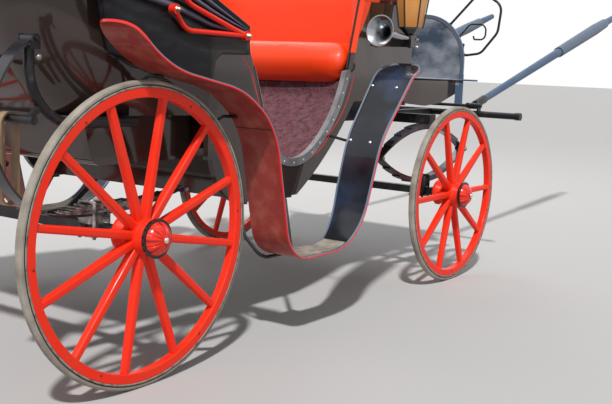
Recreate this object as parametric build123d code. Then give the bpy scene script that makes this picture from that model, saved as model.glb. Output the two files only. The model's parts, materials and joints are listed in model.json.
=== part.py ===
from build123d import *
import math
import os

# A four wheeled open carriage of the victoria kind, with one pair of shafts.
# Millimetres. +X is the way it drives, +Y its left side, +Z up, and the ground is Z = 0.
# Lengths along X are first given from the middle of the wheelbase, and every piece is
# moved by origin_x at the end, so that the origin lies under the middle of the whole length.

seat_gap = 0.3            # between pieces that rest on each other without being fixed

# Wheels
wheelbase = 2200.0
rear_r = 500.0            # over the rubber
front_r = 440.0
wheel_y = 730.0           # middle of the rim, from the centre line
tyre_h = 22.0
tyre_w = 29.0
tyre_round = 9.0
felloe_h = 33.0
felloe_w = 32.0
rear_spokes = 12
front_spokes = 10
spoke_rim = (25.0, 25.0)      # width round the wheel, depth along the axle, at the rim
spoke_hub = (29.0, 36.0)      # the same at the hub
rear_turn = 10.2          # degrees from straight up to the first spoke
front_turn = 17.6
dish = 8.0                # how far inboard of the rim the spokes start
spindle_r = 22.0
spindle_gap = 0.05
side_play = 1.0           # between the hub and the axle's collar
hub_in = 92.0             # hub's inner end, inboard of the rim's middle
hub_out = 52.0            # seat of the cap, outboard of the rim's middle
hub_r = 60.0
hub_neck = 9.0            # how much thinner the hub is at either side of its middle
collar_r = 63.0
cap_r = 55.0
cap_h = 30.0
cap_lobes = 8
lobe_r = 3.6              # of the grooves between the lobes
band_r = 64.0
band_w = 11.0
nut_r = 27.0
nut_h = 10.0

rear_x = -wheelbase / 2
front_x = wheelbase / 2

# Axles
axle_s = 36.0
axle_collar_r = 30.0
axle_collar_w = 16.0

# Body
panel_t = 22.0
half_w = 560.0            # outer face of the side panels
floor_z = 520.0           # underside of the foot well's sides
pan_z = 605.0             # underside of the floor pan
pan_t = 16.0
carpet_t = 5.0
boot_z = 700.0            # underside of the rear boot
boot_half = 466.0
boot_back = -1120.0
boot_t = 16.0
tub_z = 866.0             # underside of the rear tub
tub_front = -600.0
tub_t = 20.0
tub_top_z = 1345.0
rail_z = 1128.0           # top of the side at the front of the rear tub
seat_z = 1010.0           # underside of the passengers' cushions
board_t = 18.0
cushion_h = 140.0
roll_drop = 24.0          # of the front cushion's roll, over the edge of its board
seat_back_x = -940.0
rear_cushion_half = 486.0
rear_back_half = 440.0
rear_cushion_front = -462.0
front_cushion_rear = 312.0
front_back_x = 610.0
box_z = 905.0             # underside of the driver's box
box_top = 1352.0
box_front = 880.0         # at the bottom; the front board leans out above
box_lean = 40.0
driver_x = 715.0          # back of the driver's cushion
driver_cushion_h = 96.0

# Dash and footboard
dash_x = 1440.0
dash_t = 6.0
dash_low = 976.0
dash_high = 1350.0
dash_half = 575.0
dash_corner = 240.0
foot_half = 536.0
foot_t = 20.0
cheek_w = 16.0

# Mudguards
guard_out = 832.0         # outboard edge
guard_in = 662.0          # inboard edge, behind
guard_waist = 704.0       # inboard edge at the front of the step
guard_front_in = 620.0    # inboard edge at the front tip
guard_corner = 70.0       # rounding of the front tip, seen from above
guard_t = 4.0
bead_t = 8.0              # rolled edges
bead_w = 8.0
step_z = 326.0
tread_t = 6.0

# Rear spring
cee_y = 500.0
cee_w = 55.0
leaf_t = 8.0
cee_r = 300.0             # radius of the C
cee_bed_r = 1600.0        # radius of its flat lower part
cee_low = 548.0           # middle of the long leaf, over the axle
cee_front = 400.0         # from the axle to its front eye
cee_turn = 150.0          # from the axle back to where the C starts
apex_x = -1370.0
thin_leaf_t = 6.0
eye_r = 13.0
pin_r = 7.5
pin_gap = 0.1

# Body irons
iron_r = 17.0
iron_bend = 185.0
iron_front = -915.0
cheek_t = 9.0

# Front spring
spring_y = 540.0
spring_w = 45.0
spring_half = 440.0       # from the axle to either eye
spring_mid = 632.0        # height of the eyes
spring_open = 126.0       # from the eyes to the long leaf of either half
front_leaf_t = 7.0

# Turning gear
ring_r = 300.0
ring_t = 12.0
ring_w = 50.0
ring_z = 842.0            # where the two rings rub
rub_gap = 0.4
bearer_y = 225.0
bearer_w = 40.0
bearer_back = 500.0
bearer_front = 1420.0
transom_w = 70.0
king_r = 16.0
king_gap = 0.05
futchell_y = 225.0
futchell_w = 36.0
futchell_h = 46.0
futchell_back = 790.0
bolster_w = 62.0
bolster_half = 590.0
bar_x = 1750.0            # splinter bar
bar_z = 815.0
bar_half = 790.0
bar_r = 18.0

# Shafts
shaft_y = 500.0
shaft_rise = 15.0         # degrees above level, as held up in use
shaft_start = 40.0        # from the hinge pin to the pole's foot
shaft_len = 2430.0
shaft_foot_r = 19.0
shaft_r = 32.0            # at its thickest, shaft_swell from the hinge pin
shaft_swell = 2000.0
shaft_tip_r = 20.0
sleeve_start = 1300.0
sleeve_len = 900.0
sleeve_t = 7.0
hinge_r = 9.0
hinge_gap = 0.05
hinge_lift = 44.0         # hinge pin above the middle of the splinter bar
hinge_half = 552.0

hinge_z = bar_z + hinge_lift
shaft_tip_x = bar_x + shaft_len * math.cos(math.radians(shaft_rise)) + shaft_tip_r
origin_x = -(shaft_tip_x + rear_x - rear_r) / 2

parts = {}


def keep(name, shape):
    parts[name] = Pos(origin_x, 0, 0) * shape


def slab(face, y_low, y_high):
    # A face drawn with its x along X and its y along Z, as a plate between two places along Y.
    return extrude(Plane.XZ.offset(-y_high) * face, y_high - y_low)


def pair(shape):
    # The near piece and its mirror image, as two solids of one node.
    return Compound(children=[shape, mirror(shape, about=Plane.XZ)])


def bar_y(x, z, r, y_low, y_high):
    return Pos(x, (y_low + y_high) / 2, z) * Rot(90, 0, 0) * Cylinder(r, y_high - y_low)


def block(x_low, x_high, y_low, y_high, z_low, z_high):
    middle = Pos((x_low + x_high) / 2, (y_low + y_high) / 2, (z_low + z_high) / 2)
    return middle * Box(x_high - x_low, y_high - y_low, z_high - z_low)


def rod(points, r, bend=None):
    # A round bar along straight runs, with a bend radius at each corner.
    path = Polyline(*points) if bend is None else FilletPolyline(*points, radius=bend)
    start = Plane(origin=path @ 0, z_dir=path % 0)
    return sweep(start * Circle(r), path=path)


def arc_band(cx, cz, r, t, a0, a1):
    # Part of a flat ring, drawn in X and Z. Angles in degrees from +X towards +Z.
    outer = CenterArc((cx, cz), r + t / 2, a0, a1 - a0)
    inner = CenterArc((cx, cz), r - t / 2, a0, a1 - a0)
    return make_face([outer, inner, Line(outer @ 0, inner @ 0), Line(outer @ 1, inner @ 1)])


def ribbon(points, radius_list, t):
    # A strip of sheet seen from the side: straight runs joined by arcs, t thick on its left.
    line = FilletPolyline(*points, radius=radius_list)
    return make_face(line.wire().offset_2d(t, side=Side.LEFT).edges())


def cushion(x_low, x_high, half, z, h, edge):
    pad = block(x_low, x_high, -half, half, z, z + h)
    return fillet(pad.edges(), edge)


# Wheels: rim, spokes and hub are one glued wooden assembly, under a rubber tyre


def wooden_wheel(r, count, first):
    rim_out = r - tyre_h
    rim_in = rim_out - felloe_h
    rim = revolve(Pos((rim_out + rim_in) / 2, 0, 0) * RectangleRounded(felloe_h, felloe_w, 4), Axis.Y)
    spoke_in = hub_r - 12
    spoke_out = rim_in + 6
    low = Plane(origin=(0, dish, spoke_in), x_dir=(1, 0, 0), z_dir=(0, 0, 1))
    high = Plane(origin=(0, 0, spoke_out), x_dir=(1, 0, 0), z_dir=(0, 0, 1))
    spoke = loft([low * RectangleRounded(*spoke_hub, 9), high * RectangleRounded(*spoke_rim, 7)])
    spokes = [Rot(0, first + i * 360 / count, 0) * spoke for i in range(count)]
    bore_r = spindle_r + spindle_gap
    # radius, place along the axle with inboard positive
    turned = [(bore_r, hub_in), (collar_r - 6, hub_in), (collar_r, hub_in - 6), (collar_r, hub_in - 18),
              (hub_r - hub_neck, hub_in - 40), (hub_r, dish + 24), (hub_r, dish - 22),
              (hub_r - hub_neck, -hub_out + 12), (hub_r - hub_neck, -hub_out), (bore_r, -hub_out)]
    hub = revolve(make_face(Polyline(*turned, close=True)), Axis.Y)
    bore = bar_y(0, 0, bore_r, -hub_out - 5, hub_in + 5)
    return hub + spokes + rim - bore


def rubber_tyre(r):
    rim_out = r - tyre_h
    half = tyre_w / 2
    side = r - tyre_round
    profile = make_face([Line((rim_out, -half), (side, -half)),
                         RadiusArc((side, -half), (r, -half + tyre_round), -tyre_round),
                         Line((r, -half + tyre_round), (r, half - tyre_round)),
                         RadiusArc((r, half - tyre_round), (side, half), -tyre_round),
                         Line((side, half), (rim_out, half)), Line((rim_out, half), (rim_out, -half))])
    return revolve(profile, Axis.Y)


def hub_cap():
    # A black band and a domed cap with lobes like a pumpkin, over the nut of the axle.
    seat = -hub_out - band_w
    top = seat - cap_h
    band = bar_y(0, 0, band_r, seat, -hub_out)
    arc = ThreePointArc((cap_r, seat), (cap_r * 0.74, seat - cap_h * 0.70), (0, top))
    dome = revolve(make_face([arc, Line((0, top), (0, seat)), Line((0, seat), (cap_r, seat))]), Axis.Y)
    groove = rod([(cap_r + 3, seat, 0), (cap_r * 0.78, seat - cap_h * 0.78, 0), (12, top - 1, 0)], lobe_r, 30)
    for i in range(cap_lobes):
        dome -= Rot(0, (i + 0.5) * 360 / cap_lobes, 0) * groove
    pin = bar_y(0, 0, 5, top - 7, top + 6)
    hollow = bar_y(0, 0, nut_r + 2, -hub_out - nut_h - 5, -hub_out + 4)
    return band + dome + pin - hollow


# name, place along X, radius, side
wheel_rows = [("rear_near", rear_x, rear_r, -1), ("rear_far", rear_x, rear_r, 1),
              ("front_near", front_x, front_r, -1), ("front_far", front_x, front_r, 1)]
wood_of = {rear_r: wooden_wheel(rear_r, rear_spokes, rear_turn),
           front_r: wooden_wheel(front_r, front_spokes, front_turn)}
tyre_of = {rear_r: rubber_tyre(rear_r), front_r: rubber_tyre(front_r)}
cap_shape = hub_cap()
for name, x, r, side in wheel_rows:
    here = Pos(x, side * wheel_y, r) * Rot(0, 0, 0 if side < 0 else 180)
    keep("wheel_" + name, here * wood_of[r])
    keep("tyre_" + name, here * tyre_of[r])
    keep("hub_cap_" + name, here * cap_shape)

# Axles: a square beam with a turned collar, a spindle and a nut at either end

collar_y = wheel_y - hub_in - side_play
nut_y = wheel_y + hub_out


def axle(x, z):
    beam = Pos(x, 0, z) * Box(axle_s, 2 * (collar_y - 4), axle_s)
    half = bar_y(x, z, axle_collar_r, collar_y - axle_collar_w, collar_y)
    half += bar_y(x, z, spindle_r, collar_y - 30, nut_y + nut_h)
    half += bar_y(x, z, nut_r, nut_y + side_play, nut_y + nut_h)
    return beam + half + mirror(half, about=Plane.XZ)


keep("rear_axle", axle(rear_x, rear_r))
keep("front_axle", axle(front_x, front_r))

# C springs: one long leaf that curls up behind, under a stack of shorter leaves

bed_z = cee_low + cee_bed_r
turn_angle = math.degrees(math.asin(cee_turn / cee_bed_r))
front_angle = math.degrees(math.asin(cee_front / cee_bed_r))
start_x = rear_x - cee_turn
start_z = bed_z - cee_bed_r * math.cos(math.radians(turn_angle))
curl_x = start_x + cee_r * math.sin(math.radians(turn_angle))
curl_z = start_z + cee_r * math.cos(math.radians(turn_angle))
apex_angle = 180 - math.degrees(math.acos((curl_x - apex_x) / cee_r))
apex_z = curl_z + cee_r * math.sin(math.radians(apex_angle))
cee_low_y = -cee_y - cee_w / 2
cee_high_y = -cee_y + cee_w / 2

main_leaf = slab(arc_band(rear_x, bed_z, cee_bed_r, leaf_t, 270 - turn_angle, 270 + front_angle),
                 cee_low_y, cee_high_y)
main_leaf += slab(arc_band(curl_x, curl_z, cee_r, leaf_t, apex_angle, 270 - turn_angle), cee_low_y, cee_high_y)
front_eye_x = rear_x + cee_front
front_eye_z = bed_z - cee_bed_r * math.cos(math.radians(front_angle))
spring = main_leaf
# how far ahead of the axle and how far behind it each shorter leaf reaches
leaf_rows = [(330.0, 140.0), (270.0, 135.0), (210.0, 120.0), (150.0, 95.0), (100.0, 65.0)]
leaf_r = cee_bed_r - leaf_t / 2 - thin_leaf_t / 2
for ahead, behind in leaf_rows:
    leaf = arc_band(rear_x, bed_z, leaf_r, thin_leaf_t, 270 - math.degrees(behind / leaf_r),
                    270 + math.degrees(ahead / leaf_r))
    spring += slab(leaf, cee_low_y, cee_high_y)
    leaf_r -= thin_leaf_t
stack_top = bed_z - leaf_r - thin_leaf_t / 2
for x, z in ((apex_x, apex_z), (front_eye_x, front_eye_z)):
    spring += bar_y(x, z, eye_r, cee_low_y, cee_high_y)
spring -= bar_y(apex_x, apex_z, pin_r + pin_gap, cee_low_y - 1, cee_high_y + 1)
keep("cee_springs", pair(spring))

# Spring seats: a block between axle and spring, two U bolts and a plate below


def spring_clip(x, y, width, z_axle, z_low, z_high, leaves):
    clip = block(x - 44, x + 44, y - width / 2, y + width / 2, z_axle + axle_s / 2, (z_low + z_high) / 2)
    arm = width / 2 + 7
    foot = z_axle - axle_s / 2
    for dx in (-32, 32):
        for dy in (-arm, arm):
            clip += Pos(x + dx, y + dy, (foot - 16 + z_high) / 2) * Cylinder(6, z_high - foot + 16)
        clip += bar_y(x + dx, z_high, 6, y - arm, y + arm)
        clip += Pos(x + dx, y - arm, z_high) * Sphere(6)
        clip += Pos(x + dx, y + arm, z_high) * Sphere(6)
    clip += block(x - 46, x + 46, y - arm - 12, y + arm + 12, foot - 8, foot)
    return clip - leaves


keep("rear_spring_clips", pair(spring_clip(rear_x, -cee_y, cee_w, rear_r, cee_low, stack_top + 6, spring)))

# Body irons: a round bar from the tip of each C spring, down and forward under the tub

iron_z = tub_z - iron_r - seat_gap
fork_z = apex_z - eye_r - 14
iron = rod([(apex_x, -cee_y, fork_z), (apex_x, -cee_y, iron_z), (iron_front, -cee_y, iron_z)],
           iron_r, iron_bend)
iron += block(iron_front - 60, iron_front, -cee_y - 8, -boot_half, iron_z - 15, iron_z + 15)
iron += Pos(apex_x, -cee_y, fork_z) * Box(30, cee_w + 2 + 2 * cheek_t, 12)
for side in (-1, 1):
    low, high = sorted((-cee_y + side * (cee_w / 2 + 1), -cee_y + side * (cee_w / 2 + 1 + cheek_t)))
    iron += block(apex_x - 15, apex_x + 15, low, high, fork_z - 6, apex_z)
    iron += bar_y(apex_x, apex_z, 15, low, high)
iron += bar_y(apex_x, apex_z, pin_r, cee_low_y - cheek_t - 12, cee_high_y + cheek_t + 12)
keep("body_irons", pair(iron))

# Body sides: flat panels round the entry, with the driver's box ahead of it

entry_back = -375.0
entry = make_face([
    Line((-281, 905), (-318, 1000)), Line((-318, 1000), (entry_back, rail_z)), Line((entry_back, rail_z),
    (entry_back, 1500)), Line((entry_back, 1500), (480, 1500)), Line((480, 1500), (448, 1357)), Line((448, 1357), (366, 1045)),
    Line((366, 1045), (317, 1035)),
    ThreePointArc((317, 1035), (206, 826), (62, 703)),
    ThreePointArc((62, 703), (-42, 672), (-144, 690)),
    ThreePointArc((-144, 690), (-230, 780), (-281, 905))])
panel = make_face([
    Line((tub_front, rail_z), (tub_front, boot_z)), Line((tub_front, boot_z), (-575, boot_z)),
    ThreePointArc((-575, boot_z), (-520, 586), (-420, floor_z)), Line((-420, floor_z), (-25, floor_z)),
    ThreePointArc((-25, floor_z), (199, 690), (392, box_z)), Line((392, box_z), (box_front, box_z)),
    Line((box_front, box_z), (box_front + box_lean, box_top)), Line((box_front + box_lean, box_top), (entry_back, box_top)),
    Line((entry_back, box_top), (entry_back, rail_z)), Line((entry_back, rail_z), (tub_front, rail_z))])
side_face = panel - entry
keep("body_sides", pair(slab(side_face, -half_w, -half_w + panel_t)))

# Sill strips: worn aluminium edging along the round of the entry

strip_w = 30.0
strip_t = 3.0
strip_face = (offset(entry, strip_w) - entry) & (Pos(40, 840) * Rectangle(620, 420)) & panel
strip_face = strip_face.faces().sort_by(SortBy.AREA)[-1]
cap_face = (entry - offset(entry, -strip_t)) & (Pos(0, 840) * Rectangle(700, 420))
cap_face = cap_face.faces().sort_by(SortBy.AREA)[-1]
strip = slab(strip_face, -half_w - strip_t, -half_w) + slab(cap_face, -half_w - strip_t, -half_w + panel_t)
keep("sill_strips", pair(strip))

# Floor pan: one bent board between the sides, from the rear seat's riser to the driver's box

inner_w = half_w - panel_t
riser_x = -520.0
pan_top = seat_z - board_t
pan_front = 400.0
pan_line = [(riser_x, pan_top), (riser_x, 720.0), (-430.0, pan_z), (-40.0, pan_z), (pan_front, 900.0),
            (pan_front, pan_top)]
pan_bends = [60, 60, 150, 60]
pan = ribbon(pan_line, pan_bends, pan_t)
keep("floor_pan", slab(pan, -inner_w, inner_w))
carpet = ribbon(pan_line, pan_bends, pan_t + carpet_t) - pan
carpet -= Pos(0, pan_top) * Rectangle(2000, 2 * seat_gap)
keep("carpet", slab(carpet, -inner_w, inner_w))

# Floor bearers: cross bars between the sides, under the pan

bearers = [block(x - 22, x + 22, -inner_w, inner_w, floor_z + 14, pan_z) for x in (-385.0, -230.0, -75.0)]
keep("floor_bearers", Compound(children=bearers))

# Rear tub: a bowed shell round the rear seat, wider at its rail than at its bottom


def tub_plan(z, back_half, back, corner, wall, front):
    # The front edge meets the flat sides. It is drawn clockwise from the front near corner.
    half = half_w - wall
    rear = back_half - wall
    sketch = make_face(Polyline((front, -half), (front, half), (back + wall, rear), (back + wall, -rear), close=True))
    sketch = fillet(sketch.vertices().group_by(Axis.X)[0], corner - wall)
    return Plane.XY.offset(z) * sketch


# height, half width at the back, back, corner radius
tub_rows = [(tub_z, 410.0, -1120.0, 230.0), (tub_z + 60, 470.0, -1175.0, 260.0),
            (tub_z + 190, 530.0, -1265.0, 290.0), (tub_top_z, 585.0, -1350.0, 315.0)]
tub_out = loft([tub_plan(*row, 0.0, tub_front) for row in tub_rows])
tub_in = loft([tub_plan(z + (tub_t if i == 0 else 0.0), half, back, corner, tub_t, tub_front + 5)
               for i, (z, half, back, corner) in enumerate(tub_rows)])
tub_in += Pos(0, 0, 0) * extrude(tub_plan(tub_top_z, *tub_rows[-1][1:], tub_t, tub_front + 5), 20)
rail_back = (-1400, tub_top_z - 12)
rail_cut = make_face(Polyline((-500, rail_z), (tub_front, rail_z), rail_back, (-1400, 1450), (-500, 1450), close=True))
tub = tub_out - tub_in - slab(rail_cut, -800, 800)
keep("rear_tub", tub)

# Rear boot: the closed box under the tub

boot_face = make_face(Polyline((boot_back, tub_z), (boot_back + 40, boot_z), (tub_front, boot_z),
                               (tub_front, tub_z), close=True))
boot_face = fillet(boot_face.vertices().group_by(Axis.Y)[0].sort_by(Axis.X)[0], 50)
boot_inner = offset(boot_face, -boot_t)
keep("rear_boot", slab(boot_face, -boot_half, boot_half) - slab(boot_inner, -boot_half + boot_t, boot_half - boot_t))

# Seats: boards, red cushions and red backs

seat_board_back = seat_back_x - 90
seat_board_half = rear_back_half + 10
keep("seat_boards", Compound(children=[
    block(seat_board_back, riser_x + pan_t, -seat_board_half, seat_board_half, pan_top, seat_z),
    block(pan_front - pan_t, box_front - 60, -inner_w, inner_w, pan_top, seat_z)]))
keep("rear_cushion", cushion(seat_back_x + 4, rear_cushion_front, rear_cushion_half, seat_z + seat_gap, cushion_h, 30))
back_face = make_face(Polyline((seat_back_x, seat_z + seat_gap), (seat_back_x - 80, 1470),
                               (seat_back_x - 170, 1470), (seat_back_x - 85, seat_z + seat_gap), close=True))
keep("rear_seat_back", fillet(slab(back_face, -rear_back_half, rear_back_half).edges(), 26))
cushion_top = seat_z + seat_gap + cushion_h
roll_front = pan_front - pan_t - carpet_t - 8
roll_face = make_face(Polyline((front_cushion_rear, seat_z - roll_drop), (roll_front, seat_z - roll_drop),
                               (roll_front, seat_z + seat_gap), (front_back_x - 4, seat_z + seat_gap),
                               (front_back_x - 4, cushion_top), (front_cushion_rear, cushion_top), close=True))
roll_face = fillet(roll_face.vertices().group_by(Axis.X)[0] + roll_face.vertices().group_by(Axis.X)[-1], 30)
front_cushion = slab(roll_face, -inner_w + 12, inner_w - 12)
keep("front_cushion", fillet(front_cushion.faces().sort_by(Axis.Y)[0].edges()
                             + front_cushion.faces().sort_by(Axis.Y)[-1].edges(), 7))

# Side pads: red wedges on the inner faces of the sides, behind the entry's front edge

pad_low = cushion_top + seat_gap
pad_face = make_face(Polyline((-inner_w + seat_gap, pad_low), (-inner_w + seat_gap, box_top + 60),
                              (-inner_w + 66, box_top + 60), (-inner_w + 16, pad_low), close=True))
side_pad = extrude(Plane.YZ.offset(300) * pad_face, front_back_x - 8 - 300)
side_pad -= slab(entry, -half_w, -half_w + 200)
keep("side_pads", pair(side_pad))
front_back_face = make_face(Polyline((front_back_x, seat_z + seat_gap), (front_back_x + 26, 1460),
                                     (front_back_x + 88, 1460), (front_back_x + 70, seat_z + seat_gap), close=True))
keep("front_seat_back", fillet(slab(front_back_face, -inner_w + 14, inner_w - 14).edges(), 24))

# Driver's box: floor, front board and top board in one, between and over the sides

box_face = make_face(Polyline((400, box_z), (box_front, box_z), (box_front + box_lean, box_top),
                              (box_front + box_lean - 20, box_top), (box_front - 20, box_z + board_t),
                              (400, box_z + board_t), close=True))
box_floor = slab(box_face, -inner_w, inner_w)
top_back = driver_x - 12
top_front = box_front + box_lean + 45
box_lid = block(top_back, top_front, -half_w, half_w, box_top, box_top + board_t)
keep("drivers_box", box_floor)
keep("driver_board", fillet(box_lid.edges().filter_by(Axis.Z), 30))
driver_z = box_top + board_t + seat_gap
keep("driver_cushion", cushion(driver_x, top_front + 25, inner_w - 60, driver_z, driver_cushion_h, 28))

# Driver's rail: a low iron round the ends and back of the driver's seat

rail_r = 9.0
rail_y = half_w - 20
rail_top = 1560.0
rail_end_x = driver_x + 5
driver_rail = rod([(top_front - 75, -rail_y, box_top + board_t), (top_front - 75, -rail_y, rail_top),
                   (rail_end_x, -rail_y, rail_top + 30), (rail_end_x, rail_y, rail_top + 30),
                   (top_front - 75, rail_y, rail_top), (top_front - 75, rail_y, box_top + board_t)],
                  rail_r, [60, 60, 60, 60])
keep("driver_rail", driver_rail)

# Footboard and dash

foot_z = box_z + seat_gap
foot_back = box_front + seat_gap
foot_bend = 1330.0        # where the board turns up to the dash
cheek_low = box_z - 33
cheek_high = dash_low + 24
lean_there = box_lean * (cheek_high - box_z) / (box_top - box_z)
foot_board = make_face(Polyline((foot_back, foot_z), (foot_bend, foot_z), (dash_x, dash_low - 6), (dash_x, cheek_high),
                                (foot_bend - 6, foot_z + foot_t), (foot_back + 2, foot_z + foot_t), close=True))
cheek_face = make_face(Polyline((foot_back, foot_z), (foot_back + lean_there + seat_gap, cheek_high),
                                (dash_x, cheek_high), (dash_x, foot_z + 25), (foot_bend - 55, foot_z - 21),
                                (front_x + 12, cheek_low), (foot_back + 15, foot_z - 17), close=True))
footboard = slab(foot_board, -foot_half, foot_half)
footboard += slab(cheek_face, -foot_half, -foot_half + cheek_w)
footboard += slab(cheek_face, foot_half - cheek_w, foot_half)
keep("footboard", footboard)
dash_face = Pos(0, (dash_low + dash_high) / 2) * Rectangle(2 * dash_half, dash_high - dash_low)
dash_face = fillet(dash_face.vertices().group_by(Axis.Y)[1], dash_corner)
dash_face = fillet(dash_face.vertices().group_by(Axis.Y)[0], 70)
dash = extrude(Plane.YZ.offset(dash_x) * dash_face, dash_t)
dash_rim = extrude(Plane.YZ.offset(dash_x) * dash_face, dash_t + 7)
dash_rim -= extrude(Plane.YZ.offset(dash_x - 1) * offset(dash_face, -10), 40)
for side in (-1, 1):
    low, high = sorted((side * foot_half, side * (foot_half + 44)))
    dash += block(dash_x, dash_x + dash_t, low, high, cheek_low + 6, dash_low + 60)
dash += bar_y(dash_x - 4, cheek_high + 6, 5, -dash_half - 90, dash_half + 90)
keep("dash", dash + dash_rim)

# Mudguards: a strip of sheet over the rear wheel, down to the step and up to the front wheel

guard_tail = -1358.0      # before its corner is rounded
guard_tip = 548.0
guard_pts = [(guard_tail - 12, 1168), (-1267, 1178), (-1102, 1037), (-736, 968), (-548, 845), (-430, step_z),
             (47, step_z), (204, 757), (445, 1022), (guard_tip + 2, 1075)]
guard_bends = [120, 430, 400, 300, 150, 260, 400, 150]
guard_plan = make_face(Polyline((guard_tail, -guard_out), (guard_tip, -guard_out), (guard_tip, -guard_front_in),
                                (120, -guard_in), (-40, -guard_waist), (-420, -guard_in),
                                (guard_tail + 120, -guard_in), close=True))
guard_ends = guard_plan.vertices().group_by(Axis.X)
guard_plan = fillet(guard_ends[0], 84)
guard_plan = fillet(guard_plan.vertices().group_by(Axis.X)[-1], guard_corner)
guard_inner = [vertex for vertex in guard_plan.vertices() if -1300 < vertex.X < 200 and vertex.Y > -guard_waist - 1]
guard_plan = fillet(guard_inner, 75)
guard_ring = guard_plan - offset(guard_plan, -bead_w)
guard = slab(ribbon(guard_pts, guard_bends, guard_t), -guard_out, -guard_front_in) & extrude(guard_plan, 1500)
guard += slab(ribbon(guard_pts, guard_bends, bead_t), -guard_out, -guard_front_in) & extrude(guard_ring, 1500)
keep("mudguards", pair(guard))

# Step treads: a mat that follows the sheet, between its rolled edges

tread_face = ribbon(guard_pts, guard_bends, guard_t + tread_t) - ribbon(guard_pts, guard_bends, guard_t)
tread_face &= Pos(-205, step_z) * Rectangle(330, 200)
tread = slab(tread_face, -guard_out, -guard_in) & extrude(offset(guard_plan, -bead_w - 3), 1500)
keep("step_treads", pair(tread))

# Step irons: a flat bar and a round hoop on each side, from under the body to a plate under the step

plate_t = 8.0
plate_mid = -226.0
plate_half = 60.0
plate_z = step_z - seat_gap - plate_t / 2
pad_z = floor_z - seat_gap - plate_t / 2
hoop_r = 7.0


def flat_bar(start, end, w0, w1, t):
    run = (Vector(*end) - Vector(*start)).normalized()
    side = run.cross(Vector(0, 1, 0)).normalized()
    low = Plane(origin=start, x_dir=side, z_dir=run)
    high = Plane(origin=end, x_dir=side, z_dir=run)
    return loft([low * Rectangle(w0, t), high * Rectangle(w1, t)])


step_iron = block(plate_mid - plate_half, plate_mid + plate_half, -guard_out + 50, -guard_in + 14,
                  plate_z - plate_t / 2, plate_z + plate_t / 2)
for x in (-95.0, -390.0):
    step_iron += block(x - 34, x + 34, -half_w, -half_w + panel_t, pad_z - plate_t / 2, pad_z + plate_t / 2)
step_iron += flat_bar((-95, -half_w + 12, pad_z - 6), (plate_mid + 20, -guard_in - 6, plate_z), 26, 30, 9)
step_iron += rod([(-390, -half_w + 11, pad_z - 4), (-420, -half_w - 40, 400), (-400, -guard_in - 10, plate_z - 4),
                  (plate_mid, -guard_in - 20, plate_z - 4)], hoop_r, [70, 50])
keep("step_irons", pair(step_iron))

# Guard stays: rods from the body to the guard

guard_line = FilletPolyline(*guard_pts, radius=guard_bends)
stay_r = 6.0
stays = []


def guard_share(x):
    # How far along the guard, from 0 to 1, it passes a place along X.
    return min((abs((guard_line @ (i / 400)).X - x), i / 400) for i in range(401))[1]


# where the rod meets the guard along X, and where it starts on the body: X, Y, Z
for guard_x, start in ((206, (216, -half_w + 10, 758)), (-985, (-975, -400, 905)), (-600, (-585, -half_w + 10, 830))):
    share = guard_share(guard_x)
    spot = guard_line @ share
    run = guard_line % share
    x = spot.X + run.Y * stay_r
    z = spot.Y - run.X * stay_r
    stays.append(rod([start, (x, -guard_in + 26, z), (x, -guard_in - 34, z)], stay_r, 16))
stays = [stay - tub_out - slab(panel, -half_w, -half_w + panel_t) for stay in stays]
keep("guard_stays", Compound(children=stays + [mirror(one, about=Plane.XZ) for one in stays]))

# Hood: leather folded in a stack round the back of the seat

hood_half = 620.0
flap_in = 590.0
rail_lift = rail_z + seat_gap
hood_side = make_face(Polyline((-425, rail_lift), (-425, 1198), (-610, 1282), (-980, 1455), (-1120, 1500),
                               (-1400, 1490), (-1475, 1420), (rail_back[0], rail_back[1] + seat_gap),
                               (tub_front, rail_lift), close=True))
hood_side = fillet(hood_side.vertices().group_by(Axis.Y)[-1] + hood_side.vertices().group_by(Axis.X)[0], 40)
hood_plan = Pos(-960, 0) * Rectangle(1100, 2 * hood_half)
hood_plan = fillet(hood_plan.vertices().group_by(Axis.X)[0], 380)
hood_hole = Pos(-700, 0) * Rectangle(1100, 1020)
hood_hole = fillet(hood_hole.vertices().group_by(Axis.X)[0], 200)
hood = slab(hood_side, -hood_half, hood_half)
flap = make_face(Polyline((-425, 1198), (-420, 1090), (-600, 1088), (-636, 1062), (-652, 985), (-700, 977), (-985, 1034),
                          (-1175, 1080), (-1190, 1400), (-610, 1282), close=True))
flap = fillet(flap.vertices().group_by(Axis.Y)[0].sort_by(Axis.X)[-1], 25)
flap = slab(flap, -hood_half, -flap_in)
hood += flap
hood += mirror(flap, about=Plane.XZ)
hood = hood & extrude(Plane.XY.offset(1000) * hood_plan, 700)
hood -= extrude(Plane.XY.offset(990) * hood_hole, 720)
keep("hood", hood - tub)

# Hood irons: one bent iron on each side, from the seat's side to the knuckle and up the hood

boss_half = 12.0
iron_y = hood_half + seat_gap + boss_half
hood_iron_r = 9.0
hood_iron = rod([(-870, -iron_y, 1233), (-815, -iron_y, 1165), (-486, -iron_y, 1160)], hood_iron_r, 80)
hood_iron += rod([(-486, -iron_y, 1160), (-800, -iron_y, 1256), (-960, -iron_y, 1400)], hood_iron_r, 150)
for x, z in ((-870, 1233), (-486, 1160), (-960, 1400)):
    hood_iron += bar_y(x, z, 17, -iron_y - boss_half, -iron_y + boss_half)
keep("hood_irons", pair(hood_iron))

# Lamps: a six sided glass with a roof, in a black frame, on a bracket from the box's side

lamp_x = 715.0
lamp_y = half_w + 92.0
lamp_low = 1250.0
lamp_high = 1410.0
lamp_low_r = 52.0
lamp_r = 76.0


def six(z, r):
    return Plane.XY.offset(z) * RegularPolygon(r, 6)


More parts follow.
